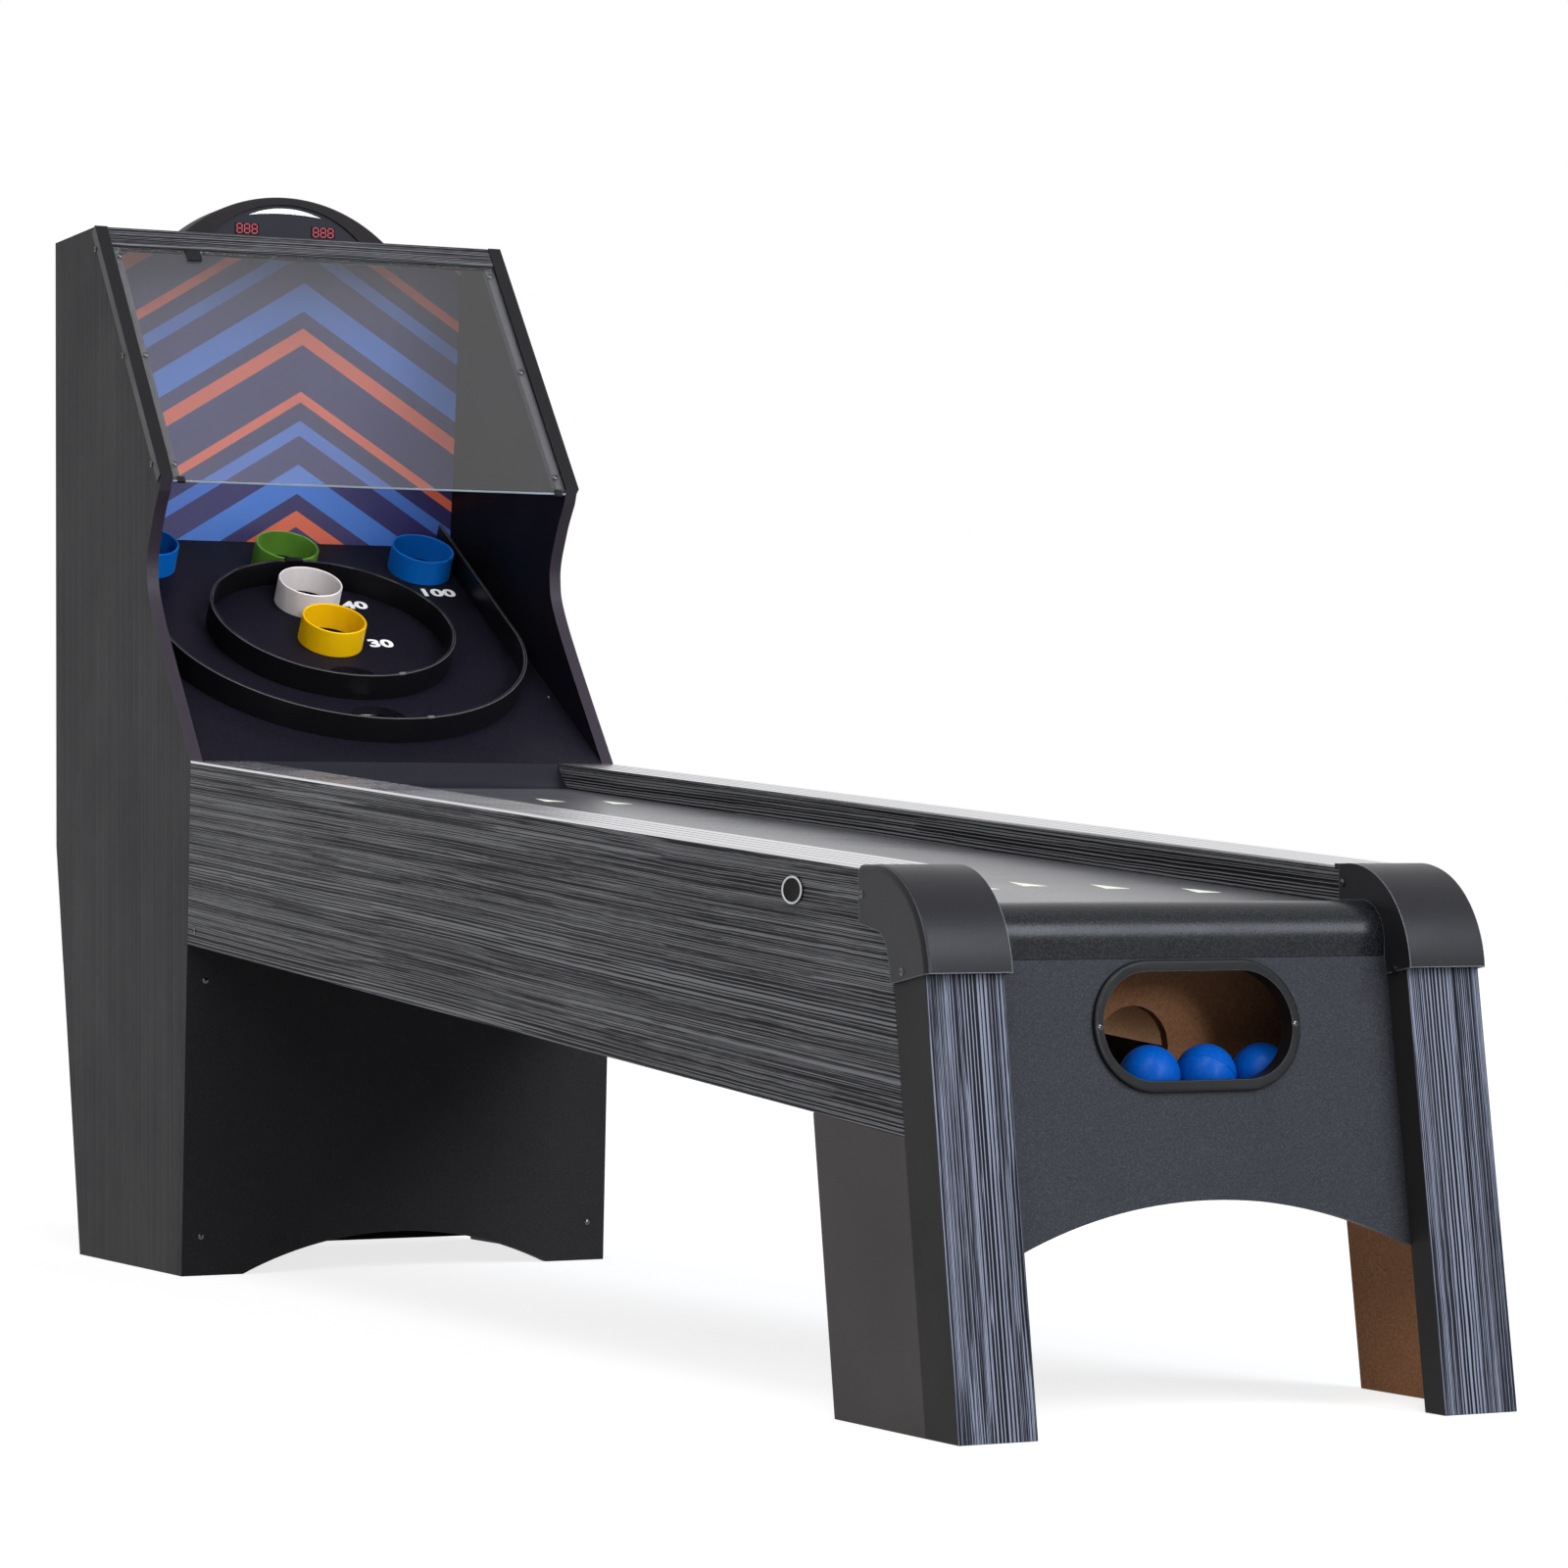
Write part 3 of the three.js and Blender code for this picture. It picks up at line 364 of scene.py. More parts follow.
def moulded(name, s):
    # plain moulded or painted surface with pebble, gloss change and a painted highlight along its edges
    material, tree, shader, where = startMaterial(name, s["rough"], Specular_IOR_Level=s["shine"])
    grain = place(tree, pebble, {"Vector": where, "Grains": s["grains"]})
    patches = roughPatches(tree, shader, where, s["rough"], size=s["patch"], swing=0.14)
    spots = mathNode(tree, 'MULTIPLY', grain["Spots"], s["spots"])
    colour = mixColour(tree, spots, rgb(s["base"]), rgb(s["spot"]))
    shade = [c * s["shade"] for c in s["base"]]
    colour = mixColour(tree, mathNode(tree, 'MULTIPLY', patches, s["cloud"]), colour, rgb(shade))
    # the edge colour is a painted highlight along the rounded edges
    if "edge" in s:
        colour = paintEdgeHighlight(tree, colour, s["edge"], s["reach"], s["gain"])
    tree.links.new(colour, shader.inputs["Base Color"])
    addBump(tree, shader, grain["Height"], s["bump"])
    return material


# turns, in degrees, that bring the way of the lines to Z
alongLane = (90 - laneRise, 0, 0)
alongWidth = (0, 90, 0)
alongHeight = (0, 0, 0)

laminateBase = {"flat": (0.2, 1, 1), "turn": alongLane, "across": 1, "mirrored": False, "bundles": [],
                "pitch": 0.0042, "micro": 0.35, "rough": 0.5, "shine": 0.05, "bump": 0.1,
                "reach": 0.0014, "gain": 1.4}
# each edge colour is the painted highlight along that board's rounded edges
laminateSets = {
    "cabinet": {"base": (0.022, 0.0215, 0.0235), "dark": (0.010, 0.0095, 0.011),
                "light": (0.062, 0.061, 0.066), "edge": (0.10, 0.10, 0.11), "turn": alongHeight,
                "lines": 600, "drift": 0.004, "contrast": 1.1, "micro": 0.3, "pitch": 0.004},
    "side": {"base": (0.038, 0.038, 0.042), "dark": (0.003, 0.003, 0.004), "light": (0.23, 0.233, 0.245),
             "edge": (0.12, 0.12, 0.13), "lines": 760, "drift": 0.010, "contrast": 2.2,
             "bundles": [(-0.478, 0.034, 2.6), (-0.385, 0.024, 1.8), (-0.560, 0.030, 0.4),
                         (-0.430, 0.02, 0.4)]},
    "post": {"base": (0.026, 0.0285, 0.040), "dark": (0.003, 0.003, 0.006), "light": (0.19, 0.21, 0.275),
             "edge": (0.09, 0.10, 0.12), "flat": (1, 0, 1), "turn": alongHeight, "across": 0,
             "mirrored": True, "lines": 760, "drift": 0.006, "contrast": 1.9, "micro": 0.3, "rough": 0.45,
             "shine": 0.08, "bundles": [(0.2535, 0.018, 3.4), (0.2535, 0.05, 0.3)]},
    "header": {"base": (0.033, 0.032, 0.036), "dark": (0.005, 0.005, 0.006), "light": (0.15, 0.15, 0.16),
               "edge": (0.12, 0.12, 0.13), "flat": (1, 0.2, 1), "turn": alongWidth, "across": 0,
               "lines": 430, "drift": 0.009, "contrast": 1.7, "micro": 0.4},
    "inner": {"base": (0.032, 0.032, 0.035), "dark": (0.004, 0.004, 0.005), "light": (0.24, 0.245, 0.25),
              "edge": (0.10, 0.10, 0.11), "lines": 700, "drift": 0.006, "contrast": 2.4, "pitch": 0.0037,
              "bundles": [(-0.590, 0.045, 2.6)]},
}
finishes = {name: laminate(name + "Laminate", {**laminateBase, **s}) for name, s in laminateSets.items()}

mouldedBase = {"spots": 0.4, "grains": 300, "rough": 0.4, "bump": 0.1, "shine": 0.15, "patch": 7.0,
               "cloud": 0.25, "shade": 0.82, "reach": 0.0012, "gain": 1.5}
cupBase = {"rough": 0.42, "bump": 0.05, "reach": 0.0008}
# each edge colour is the painted highlight along that part's rounded edges; the cap's is the strongest
mouldedSets = {
    "edgeBand": {"base": (0.024, 0.018, 0.027), "spot": (0.034, 0.028, 0.038), "edge": (0.12, 0.11, 0.13),
                 "spots": 0.5, "grains": 500, "rough": 0.45},
    "postReturn": {"base": (0.022, 0.020, 0.021), "spot": (0.034, 0.031, 0.032), "edge": (0.06, 0.06, 0.065),
                   "grains": 500, "rough": 0.5, "shine": 0.08},
    "plate": {"base": (0.088, 0.080, 0.079), "spot": (0.104, 0.095, 0.094), "edge": (0.11, 0.11, 0.12),
              "grains": 420, "rough": 0.55, "bump": 0.08, "shine": 0.06},
    "panel": {"base": (0.016, 0.0155, 0.0175), "spot": (0.028, 0.027, 0.030), "edge": (0.035, 0.035, 0.04),
              "spots": 0.5, "grains": 420, "rough": 0.55, "bump": 0.2, "shine": 0.08},
    "apron": {"base": (0.021, 0.022, 0.028), "spot": (0.052, 0.055, 0.066), "edge": (0.08, 0.08, 0.09),
              "spots": 0.6, "grains": 620, "rough": 0.5, "bump": 0.25, "shine": 0.1},
    "roll": {"base": (0.006, 0.006, 0.007), "spot": (0.024, 0.026, 0.034),
             "spots": 0.8, "grains": 560, "rough": 0.24, "bump": 0.22, "shine": 0.20},
    "cap": {"base": (0.013, 0.013, 0.0155), "spot": (0.024, 0.024, 0.028), "edge": (0.36, 0.37, 0.40),
            "grains": 600, "rough": 0.38, "bump": 0.25, "reach": 0.0018, "gain": 3.0},
    "satinBlack": {"base": (0.005, 0.0045, 0.006), "spot": (0.010, 0.0095, 0.012), "edge": (0.09, 0.09, 0.10),
                   "grains": 500, "rough": 0.35, "bump": 0.08},
    "bezel": {"base": (0.006, 0.006, 0.007), "spot": (0.010, 0.010, 0.012), "edge": (0.16, 0.16, 0.18),
              "grains": 600, "rough": 0.30, "bump": 0.12, "shine": 0.14},
    "lane": {"base": (0.076, 0.076, 0.087), "spot": (0.096, 0.096, 0.112),
             "spots": 0.2, "grains": 500, "rough": 0.28, "bump": 0.02, "patch": 3.0, "shine": 0.5},
    "target": {"base": (0.007, 0.006, 0.011), "spot": (0.018, 0.017, 0.026), "shine": 0.05},
    "kicker": {"base": (0.014, 0.014, 0.020), "spot": (0.020, 0.020, 0.028), "rough": 0.38, "shine": 0.07},
    "insideWall": {"base": (0.006, 0.005, 0.008), "spot": (0.010, 0.009, 0.014), "edge": (0.10, 0.09, 0.11),
                   "spots": 0.15, "grains": 400, "rough": 0.45, "bump": 0.03, "shine": 0.06},
    # light finish for the bevelled top edges of the ring walls: a painted highlight
    "rimLine": {"base": (0.16, 0.155, 0.165), "spot": (0.20, 0.195, 0.205),
                "grains": 500, "rough": 0.3, "bump": 0.05, "shine": 0.4},
    "glassEdge": {"base": (0.50, 0.60, 0.66), "spot": (0.62, 0.72, 0.78),
                  "spots": 0.5, "rough": 0.2, "bump": 0.02, "shine": 0.5},
    "seat": {"base": (0.060, 0.060, 0.070), "spot": (0.048, 0.048, 0.056), "spots": 0.5, "rough": 0.6},
    "yellowCup": {"base": (0.95, 0.54, 0.002), "spot": (0.90, 0.50, 0.002), "edge": (0.98, 0.72, 0.12),
                  **cupBase},
    "whiteCup": {"base": (0.88, 0.82, 0.81), "spot": (0.80, 0.75, 0.74), "edge": (0.9, 0.9, 0.9),
                 **cupBase},
    "greenCup": {"base": (0.13, 0.32, 0.037), "spot": (0.11, 0.28, 0.032), "edge": (0.4, 0.75, 0.2),
                 **cupBase},
    "blueCup": {"base": (0.002, 0.145, 0.58), "spot": (0.002, 0.125, 0.53), "edge": (0.06, 0.38, 0.9),
                **cupBase},
    "ball": {"base": (0.001, 0.072, 0.38), "spot": (0.004, 0.10, 0.46),
             "spots": 0.5, "grains": 260, "rough": 0.34, "bump": 0.06, "patch": 22.0, "shine": 0.08},
    "scorerBody": {"base": (0.018, 0.016, 0.018), "spot": (0.030, 0.027, 0.030), "edge": (0.08, 0.075, 0.08),
                   "spots": 0.5, "grains": 500, "rough": 0.5, "bump": 0.2, "shine": 0.06},
    "scorerSlate": {"base": (0.017, 0.017, 0.026), "spot": (0.022, 0.022, 0.032),
                    "grains": 400, "bump": 0.05, "shine": 0.08},
    "window": {"base": (0.018, 0.007, 0.011), "spot": (0.013, 0.005, 0.008),
               "rough": 0.45, "bump": 0.02, "shine": 0.05},
    "screw": {"base": (0.004, 0.004, 0.0045), "spot": (0.010, 0.010, 0.011),
              "spots": 0.3, "grains": 900, "rough": 0.16, "bump": 0.02, "shine": 0.9},
    "ink": {"base": (0.94, 0.94, 0.94), "spot": (0.60, 0.60, 0.62),
            "grains": 900, "rough": 0.5, "bump": 0.05},
    "arrowInk": {"base": (0.95, 0.98, 0.80), "spot": (0.84, 0.88, 0.70),
                 "grains": 400, "rough": 0.5, "bump": 0.05},
    "buttonRubber": {"base": (0.20, 0.20, 0.21), "spot": (0.17, 0.17, 0.18), "grains": 900, "rough": 0.5},
    "darkDisc": {"base": (0.005, 0.004, 0.0035), "spot": (0.010, 0.008, 0.007),
                 "grains": 600, "bump": 0.05, "shine": 0.03},
    "discRim": {"base": (0.80, 0.80, 0.80), "spot": (0.70, 0.70, 0.70),
                "grains": 900, "rough": 0.35, "bump": 0.05},
    "linerShade": {"base": (0.010, 0.010, 0.011), "spot": (0.016, 0.016, 0.017), "rough": 0.6},
}
for name, s in mouldedSets.items():
    finishes[name] = moulded(name, {**mouldedBase, **s})

fibreBase = {"fibres": {"scale": 420, "detail": 5, "roughness": 0.7, "stretch": (1, 0.5, 1)},
             "stops": (0.3, 0.5, 0.72), "cloudSize": 12, "cloudShare": 0.3, "rough": 0.85, "bump": 0.3}
fibreSets = {
    "fibre": {"base": (0.40, 0.185, 0.085), "dark": (0.27, 0.115, 0.05), "light": (0.54, 0.28, 0.14)},
    # darker copy of the raw board: painted shade for the tray and bulkhead inside the return
    "fibreShade": {"base": (0.28, 0.125, 0.055), "dark": (0.19, 0.08, 0.033), "light": (0.38, 0.19, 0.09)},
    # lighter copy of the raw board: painted light on the outer boards' inner faces
    "fibreLight": {"base": (0.74, 0.38, 0.19), "dark": (0.60, 0.29, 0.14), "light": (0.86, 0.50, 0.28)},
}


def fibreBoard(name, s):
    # raw wood-fibre board
    material, tree, shader, where = startMaterial(name, s["rough"])
    fibre = noise(tree, where, **s["fibres"])
    cloud = place(tree, smudge, {"Vector": where, "Size": s["cloudSize"]})["Value"]
    colour = ramp(tree, fibre, list(zip(s["stops"], (s["dark"], s["base"], s["light"]))))
    colour = mixColour(tree, mathNode(tree, 'MULTIPLY', cloud, s["cloudShare"]), colour, rgb(s["dark"]))
    tree.links.new(colour, shader.inputs["Base Color"])
    addBump(tree, shader, fibre, s["bump"])
    return material


metalBase = {"stops": (0.3, 0.7), "stretch": (1, 1, 0.0015)}
metalSets = {
    "rail": {"base": (0.66, 0.66, 0.68), "dark": (0.60, 0.60, 0.62), "turn": alongLane,
             "streaks": 260, "rough": 0.28, "bump": 0.03},
    # darker copy of the rail metal: painted shade in the grooves
    "railGroove": {"base": (0.36, 0.36, 0.375), "dark": (0.26, 0.26, 0.27), "turn": alongLane,
                   "streaks": 260, "rough": 0.36, "bump": 0.03},
    "crescent": {"base": (0.29, 0.30, 0.32), "dark": (0.23, 0.24, 0.26), "turn": alongWidth,
                 "streaks": 500, "rough": 0.26, "bump": 0.05},
    "steel": {"base": (0.55, 0.55, 0.56), "dark": (0.30, 0.30, 0.31), "turn": alongHeight,
              "streaks": 700, "rough": 0.36, "bump": 0.1},
}


def brushedMetal(name, s):
    # streaks run along the incoming Z after the turn
    material, tree, shader, where = startMaterial(name, s["rough"], Metallic=1.0)
    along = turnedBy(tree, where, s["turn"])
    streak = noise(tree, along, s["streaks"], detail=3, stretch=s["stretch"])
    colour = ramp(tree, streak, list(zip(s["stops"], (s["dark"], s["base"]))))
    tree.links.new(colour, shader.inputs["Base Color"])
    roughPatches(tree, shader, where, s["rough"], size=6, swing=0.12)
    addBump(tree, shader, streak, s["bump"])
    return material


sheetSet = {"base": (0.97, 0.975, 0.985), "dusty": (0.94, 0.945, 0.96), "dustSize": 3, "rough": 0.0,
            "bending": 1.46}


def clearSheet(name, s):
    material, tree, shader, where = startMaterial(name, s["rough"], Transmission_Weight=1.0, IOR=s["bending"])
    dust = place(tree, smudge, {"Vector": where, "Size": s["dustSize"]})["Value"]
    tree.links.new(mixColour(tree, dust, rgb(s["base"]), rgb(s["dusty"])), shader.inputs["Base Color"])
    return material


artworkSet = {
    "centre": 0.045, "steep": 0.62, "start": 1.00, "repeat": 0.262, "rough": 0.4,
    "fade": (0.045, 0.04, 0.10), "fadeRise": 2.0, "fadeShare": 0.35,
    "haze": (0.10, 0.10, 0.16), "hazeShare": 0.12,
    "bands": [(0, (0.016, 0.013, 0.115)), (0.16, (0.78, 0.14, 0.06)), (0.25, (0.020, 0.014, 0.105)),
              (0.34, (0.06, 0.20, 0.66)), (0.50, (0.020, 0.014, 0.12)), (0.66, (0.06, 0.17, 0.58)),
              (0.74, (0.016, 0.013, 0.095)), (0.84, (0.78, 0.14, 0.06)), (0.90, (0.020, 0.014, 0.105))],
}


def printedBoard(name, s):
    # generic chevrons in flat print colours
    material, tree, shader, where = startMaterial(name, s["rough"])
    parts = addNode(tree, 'ShaderNodeSeparateXYZ', {0: where}).outputs
    side = mathNode(tree, 'ABSOLUTE', mathNode(tree, 'SUBTRACT', parts[0], s["centre"]))
    climb = mathNode(tree, 'MULTIPLY_ADD', side, s["steep"], parts[2])
    bands = mathNode(tree, 'DIVIDE', mathNode(tree, 'SUBTRACT', climb, s["start"]), s["repeat"])
    colour = ramp(tree, mathNode(tree, 'FRACT', bands), s["bands"], 'CONSTANT')
    rise = mathNode(tree, 'SUBTRACT', parts[2], s["start"])
    fade = mathNode(tree, 'MULTIPLY', rise, s["fadeRise"], clamp=True)
    colour = mixColour(tree, mathNode(tree, 'MULTIPLY', fade, s["fadeShare"]), colour, rgb(s["fade"]))
    patches = roughPatches(tree, shader, where, s["rough"], size=3, swing=0.1)
    colour = mixColour(tree, mathNode(tree, 'MULTIPLY', patches, s["hazeShare"]), colour, rgb(s["haze"]))
    tree.links.new(colour, shader.inputs["Base Color"])
    return material


glowSet = {"lit": (0.60, 0.020, 0.055), "dim": (0.34, 0.012, 0.03), "dimShare": 0.3, "dimSize": 260,
           "unlit": (0.004, 0.001, 0.002), "unlitShare": 0.85, "rough": 0.4, "strength": 0.8}


def litSegments(name, s):
    # glows in its own colour, with a base dark enough to hardly show the room's light
    material, tree, shader, where = startMaterial(name, s["rough"], Emission_Strength=s["strength"])
    patches = place(tree, smudge, {"Vector": where, "Size": s["dimSize"]})["Value"]
    colour = mixColour(tree, mathNode(tree, 'MULTIPLY', patches, s["dimShare"]), rgb(s["lit"]), rgb(s["dim"]))
    tree.links.new(mixColour(tree, s["unlitShare"], colour, rgb(s["unlit"])), shader.inputs["Base Color"])
    tree.links.new(colour, shader.inputs["Emission Color"])
    return material


for name, s in fibreSets.items():
    finishes[name] = fibreBoard(name + "Board", {**fibreBase, **s})
for name, s in metalSets.items():
    finishes[name] = brushedMetal(name + "Metal", {**metalBase, **s})
finishes["glass"] = clearSheet("clearSheet", sheetSet)
finishes["artwork"] = printedBoard("chevronPrint", artworkSet)
finishes["digits"] = litSegments("digitGlow", glowSet)
print("materials made:", len(finishes))


# studio

studioSet = {"sky": (0.20, 0.205, 0.215), "backdrop": (1, 1, 1), "floorSize": 60, "floorDrop": 0.0004,
             "floorSeen": (0.4, 0.4, 0.4), "floorUnseen": (0.6, 0.6, 0.6), "floorGlow": 0.78}


def seenByEye(tree):
    # 1 for what the camera sees, straight on or by way of a glossy or clear surface
    ray = addNode(tree, 'ShaderNodeLightPath').outputs
    seen = mathNode(tree, 'MAXIMUM', ray["Is Camera Ray"], ray["Is Glossy Ray"])
    return mathNode(tree, 'MAXIMUM', seen, ray["Is Transmission Ray"])


def addStudio(s):
    scene = bpy.context.scene
    scene.view_settings.view_transform = 'Standard'
    world = bpy.data.worlds.new("studio")
    scene.world = world
    world.use_nodes = True
    tree = world.node_tree
    sky = mixColour(tree, seenByEye(tree), rgb(s["sky"]), rgb(s["backdrop"]))
    tree.links.new(sky, tree.nodes["Background"].inputs["Color"])
    bpy.ops.object.select_all(action='DESELECT')
    bpy.ops.mesh.primitive_plane_add(size=s["floorSize"], location=(0, 0, -s["floorDrop"]))
    floor = bpy.context.object
    floor.name = "floor"
    material, tree, shader, where = startMaterial("floorPaper", 1.0, Specular_IOR_Level=0)
    seen = seenByEye(tree)
    paper = mixColour(tree, seen, rgb(s["floorUnseen"]), rgb(s["floorSeen"]))
    tree.links.new(paper, shader.inputs["Base Color"])
    shader.inputs["Emission Color"].default_value = rgb(s["backdrop"])
    tree.links.new(mathNode(tree, 'MULTIPLY', seen, s["floorGlow"]), shader.inputs["Emission Strength"])
    floor.data.materials.append(material)


addCamera(cameraSet)
addLamps(lampSet)
addStudio(studioSet)
print("studio ready")


# modelling helpers

def activate(piece):
    bpy.ops.object.select_all(action='DESELECT')
    piece.select_set(True)
    bpy.context.view_layer.objects.active = piece


def editMode(mode='FACE', selectAll=False):
    bpy.ops.object.mode_set(mode='EDIT')
    bpy.ops.mesh.select_mode(type=mode)
    bpy.ops.mesh.select_all(action='SELECT' if selectAll else 'DESELECT')


def objectMode():
    bpy.ops.object.mode_set(mode='OBJECT')


def pick(piece, test, kind="polygons"):
    # selects faces (or vertices) for which test(item) is true; the piece is left in edit mode
    bpy.ops.mesh.select_all(action='DESELECT')
    objectMode()
    for item in getattr(piece.data, kind):
        item.select = test(item)
    bpy.ops.object.mode_set(mode='EDIT')


def thicken(thickness):
    # gives the flat selected face a thickness along Z, with all normals outwards
    bpy.ops.mesh.extrude_region_move(TRANSFORM_OT_translate={"value": (0, 0, thickness)})
    bpy.ops.mesh.select_all(action='SELECT')
    bpy.ops.mesh.normals_make_consistent(inside=False)
    objectMode()


def applyModifier(piece, kind, **settings):
    activate(piece)
    modifier = piece.modifiers.new(kind.lower(), kind)
    for key, value in settings.items():
        setattr(modifier, key, value)
    bpy.ops.object.modifier_apply(modifier=modifier.name)


def smoothByAngle(piece, angle=35):
    activate(piece)
    bpy.ops.object.shade_smooth_by_angle(angle=math.radians(angle))


def dress(piece, finish):
    piece.data.materials.clear()
    piece.data.materials.append(finishes[finish])


def settle(piece, where, turn=None):
    # bakes place and turn into the mesh, so that the object sits at the origin
    matrix = Matrix.Translation(where)
    if turn is not None:
        matrix = matrix @ turn
    piece.data.transform(matrix)
    piece.location = (0, 0, 0)
    piece.rotation_euler = (0, 0, 0)
    piece.scale = (1, 1, 1)


def stretchBy(x, y, z):
    return Matrix.Diagonal((x, y, z, 1))


def facing(normal, spin=0.0):
    lean = Vector((0, 0, 1)).rotation_difference(Vector(normal)).to_matrix().to_4x4()
    return lean @ Matrix.Rotation(spin, 4, 'Z')


def copyOf(piece, name):
    twin = piece.copy()
    twin.data = piece.data.copy()
    twin.name = name
    bpy.context.scene.collection.objects.link(twin)
    return twin


softenSet = {"merge": 0.00002, "flatAngle": 0.4, "quadAngle": 1, "quadShape": 60, "sharpAngle": 30,
             "segments": 2}


def softened(nodeName, finish, edge, ringed, s=softenSet):
    # the node's own shape with real rounded edges
    piece = copyOf(nodes[nodeName], nodeName + "_shaped")
    for key in list(piece.keys()):
        del piece[key]
    activate(piece)
    bpy.ops.mesh.customdata_custom_splitnormals_clear()
    editMode('VERT', selectAll=True)
    bpy.ops.mesh.remove_doubles(threshold=s["merge"])
    if ringed:
        bpy.ops.mesh.tris_convert_to_quads(face_threshold=math.radians(s["quadAngle"]),
                                           shape_threshold=math.radians(s["quadShape"]))
    else:
        bpy.ops.mesh.dissolve_limited(angle_limit=math.radians(s["flatAngle"]))
    objectMode()
    if edge:
        applyModifier(piece, 'BEVEL', width=edge, segments=s["segments"], limit_method='ANGLE',
                      angle_limit=math.radians(s["sharpAngle"]), miter_outer='MITER_ARC')
    smoothByAngle(piece)
    applyModifier(piece, 'WEIGHTED_NORMAL', keep_sharp=True, weight=100)
    dress(piece, finish)
    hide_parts(nodeName)
    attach(piece, bodyOf(nodeName))
    return piece


def secondFinish(piece, finish, test):
    # faces for which test(normal) is true take another finish
    piece.data.materials.append(finishes[finish])
    index = len(piece.data.materials) - 1
    for face in piece.data.polygons:
        if test(face.normal):
            face.material_index = index


# places on the visor and on the target board: the foot is y and z in mm from the front feet

visorRise, visorRun = 373, 286
visorSet = {"lean": math.atan2(visorRise, visorRun), "foot": (2279.3, 1070.22)}
targetSet = {"lean": math.radians(31), "foot": (2158.3, 683.2205)}


def onSlope(s, x, up, out):
    # mm across, up the slope and out of it
    y, z = s["foot"]
    return at(x, y + up * math.cos(s["lean"]) - out * math.sin(s["lean"]),
              z + up * math.sin(s["lean"]) + out * math.cos(s["lean"]))


def normalOf(s):
    return Vector((0, -math.sin(s["lean"]), math.cos(s["lean"])))


# boards and mouldings taken from the frame

boardSet = {
    # finish, slot and rounding of the edges in metres; a star stands for left and right
    "cabinet_side_*": ("cabinet", "dark_laminate", 0.0007),
    "header_board": ("header", "dark_laminate", 0.0006),
    "outer_board_*": ("side", "dark_laminate", 0.0007),
    "inner_board_*": ("inner", "dark_laminate", 0.0006),
    "lower_front_panel": ("panel", "black_panel", 0.0006),
    "front_apron": ("apron", "black_panel", 0.0007),
    "leg_post_*": ("post", "post_laminate", 0.0009),
    "leg_plate_*": ("plate", "plate_laminate", 0.0007),
    "front_roll": ("roll", "black_moulding", 0.0),
    "corner_cap_*": ("cap", "black_moulding", 0.0009),
    "return_bezel": ("bezel", "satin_black", 0.0010),
    "visor_trim_*": ("satinBlack", "satin_black", 0.0004),
    "visor_glass": ("glass", "clear_sheet", 0.0004),
    "inner_ring_wall": ("satinBlack", "satin_black", 0.0006),
    "outer_ring_wall": ("satinBlack", "satin_black", 0.0006),
    "cup_yellow": ("yellowCup", "yellow_cup", 0.0008),
    "cup_white": ("whiteCup", "white_cup", 0.0008),
    "cup_green": ("greenCup", "green_cup", 0.0008),
    "cup_blue_*": ("blueCup", "blue_cup", 0.0008),
    "top_rail_*": ("rail", "silver_rail", 0.0006),
    "scorer_housing": ("scorerBody", "satin_black", 0.0004),
    "scorer_crescent_trim": ("crescent", "crescent_metal", 0.0004),
    "side_disc": ("darkDisc", "disc_metal", 0.0004),
}
ringedNodes = ("inner_ring_wall", "return_bezel", "cup_yellow", "cup_white", "cup_green", "cup_blue_*",
               "side_disc")
shaped = {}
for pattern, (finish, slotName, edge) in boardSet.items():
    for side in ("left", "right") if "*" in pattern else ("",):
        nodeName = pattern.replace("*", side)
        shaped[nodeName] = softened(nodeName, finish, edge, pattern in ringedNodes)

# a normal with at least the first share along an axis faces that way, and with the second it leans that way
faces, leans = 0.7, 0.3
grooveEnd, rimEnd = 0.9, 0.97
for side, sign in sides:
    secondFinish(shaped["cabinet_side_" + side], "edgeBand", lambda n: abs(n.x) < faces and n.y < leans)
    secondFinish(shaped["cabinet_side_" + side], "insideWall", lambda n: n.x * sign < -faces)
    secondFinish(shaped["leg_post_" + side], "postReturn", lambda n: abs(n.x) > faces)
    secondFinish(shaped["leg_post_" + side], "fibre", lambda n: n.y > faces)
    secondFinish(shaped["leg_plate_" + side], "fibre", lambda n: n.x * sign < -faces)
    # the inner faces of the outer boards take the lighter copy of the raw board: painted light
    secondFinish(shaped["outer_board_" + side], "fibreLight", lambda n: n.x * sign < -faces)
    # the sloping faces of the rails' grooves take the darker metal: painted shade
    secondFinish(shaped["top_rail_" + side], "railGroove", lambda n: leans < abs(n.x) < grooveEnd)
# the bevelled top edges of the ring walls take the light finish: a painted highlight
for ring in ("inner_ring_wall", "outer_ring_wall"):
    secondFinish(shaped[ring], "rimLine", lambda n: leans < n.dot(normalOf(targetSet)) < rimEnd)
for board in ("front_apron", "lower_front_panel"):
    secondFinish(shaped[board], "fibre", lambda n: n.y > faces)
secondFinish(shaped["visor_glass"], "glassEdge", lambda n: n.y < -leans and n.z < -leans)
print("boards and mouldings shaped:", len(shaped))

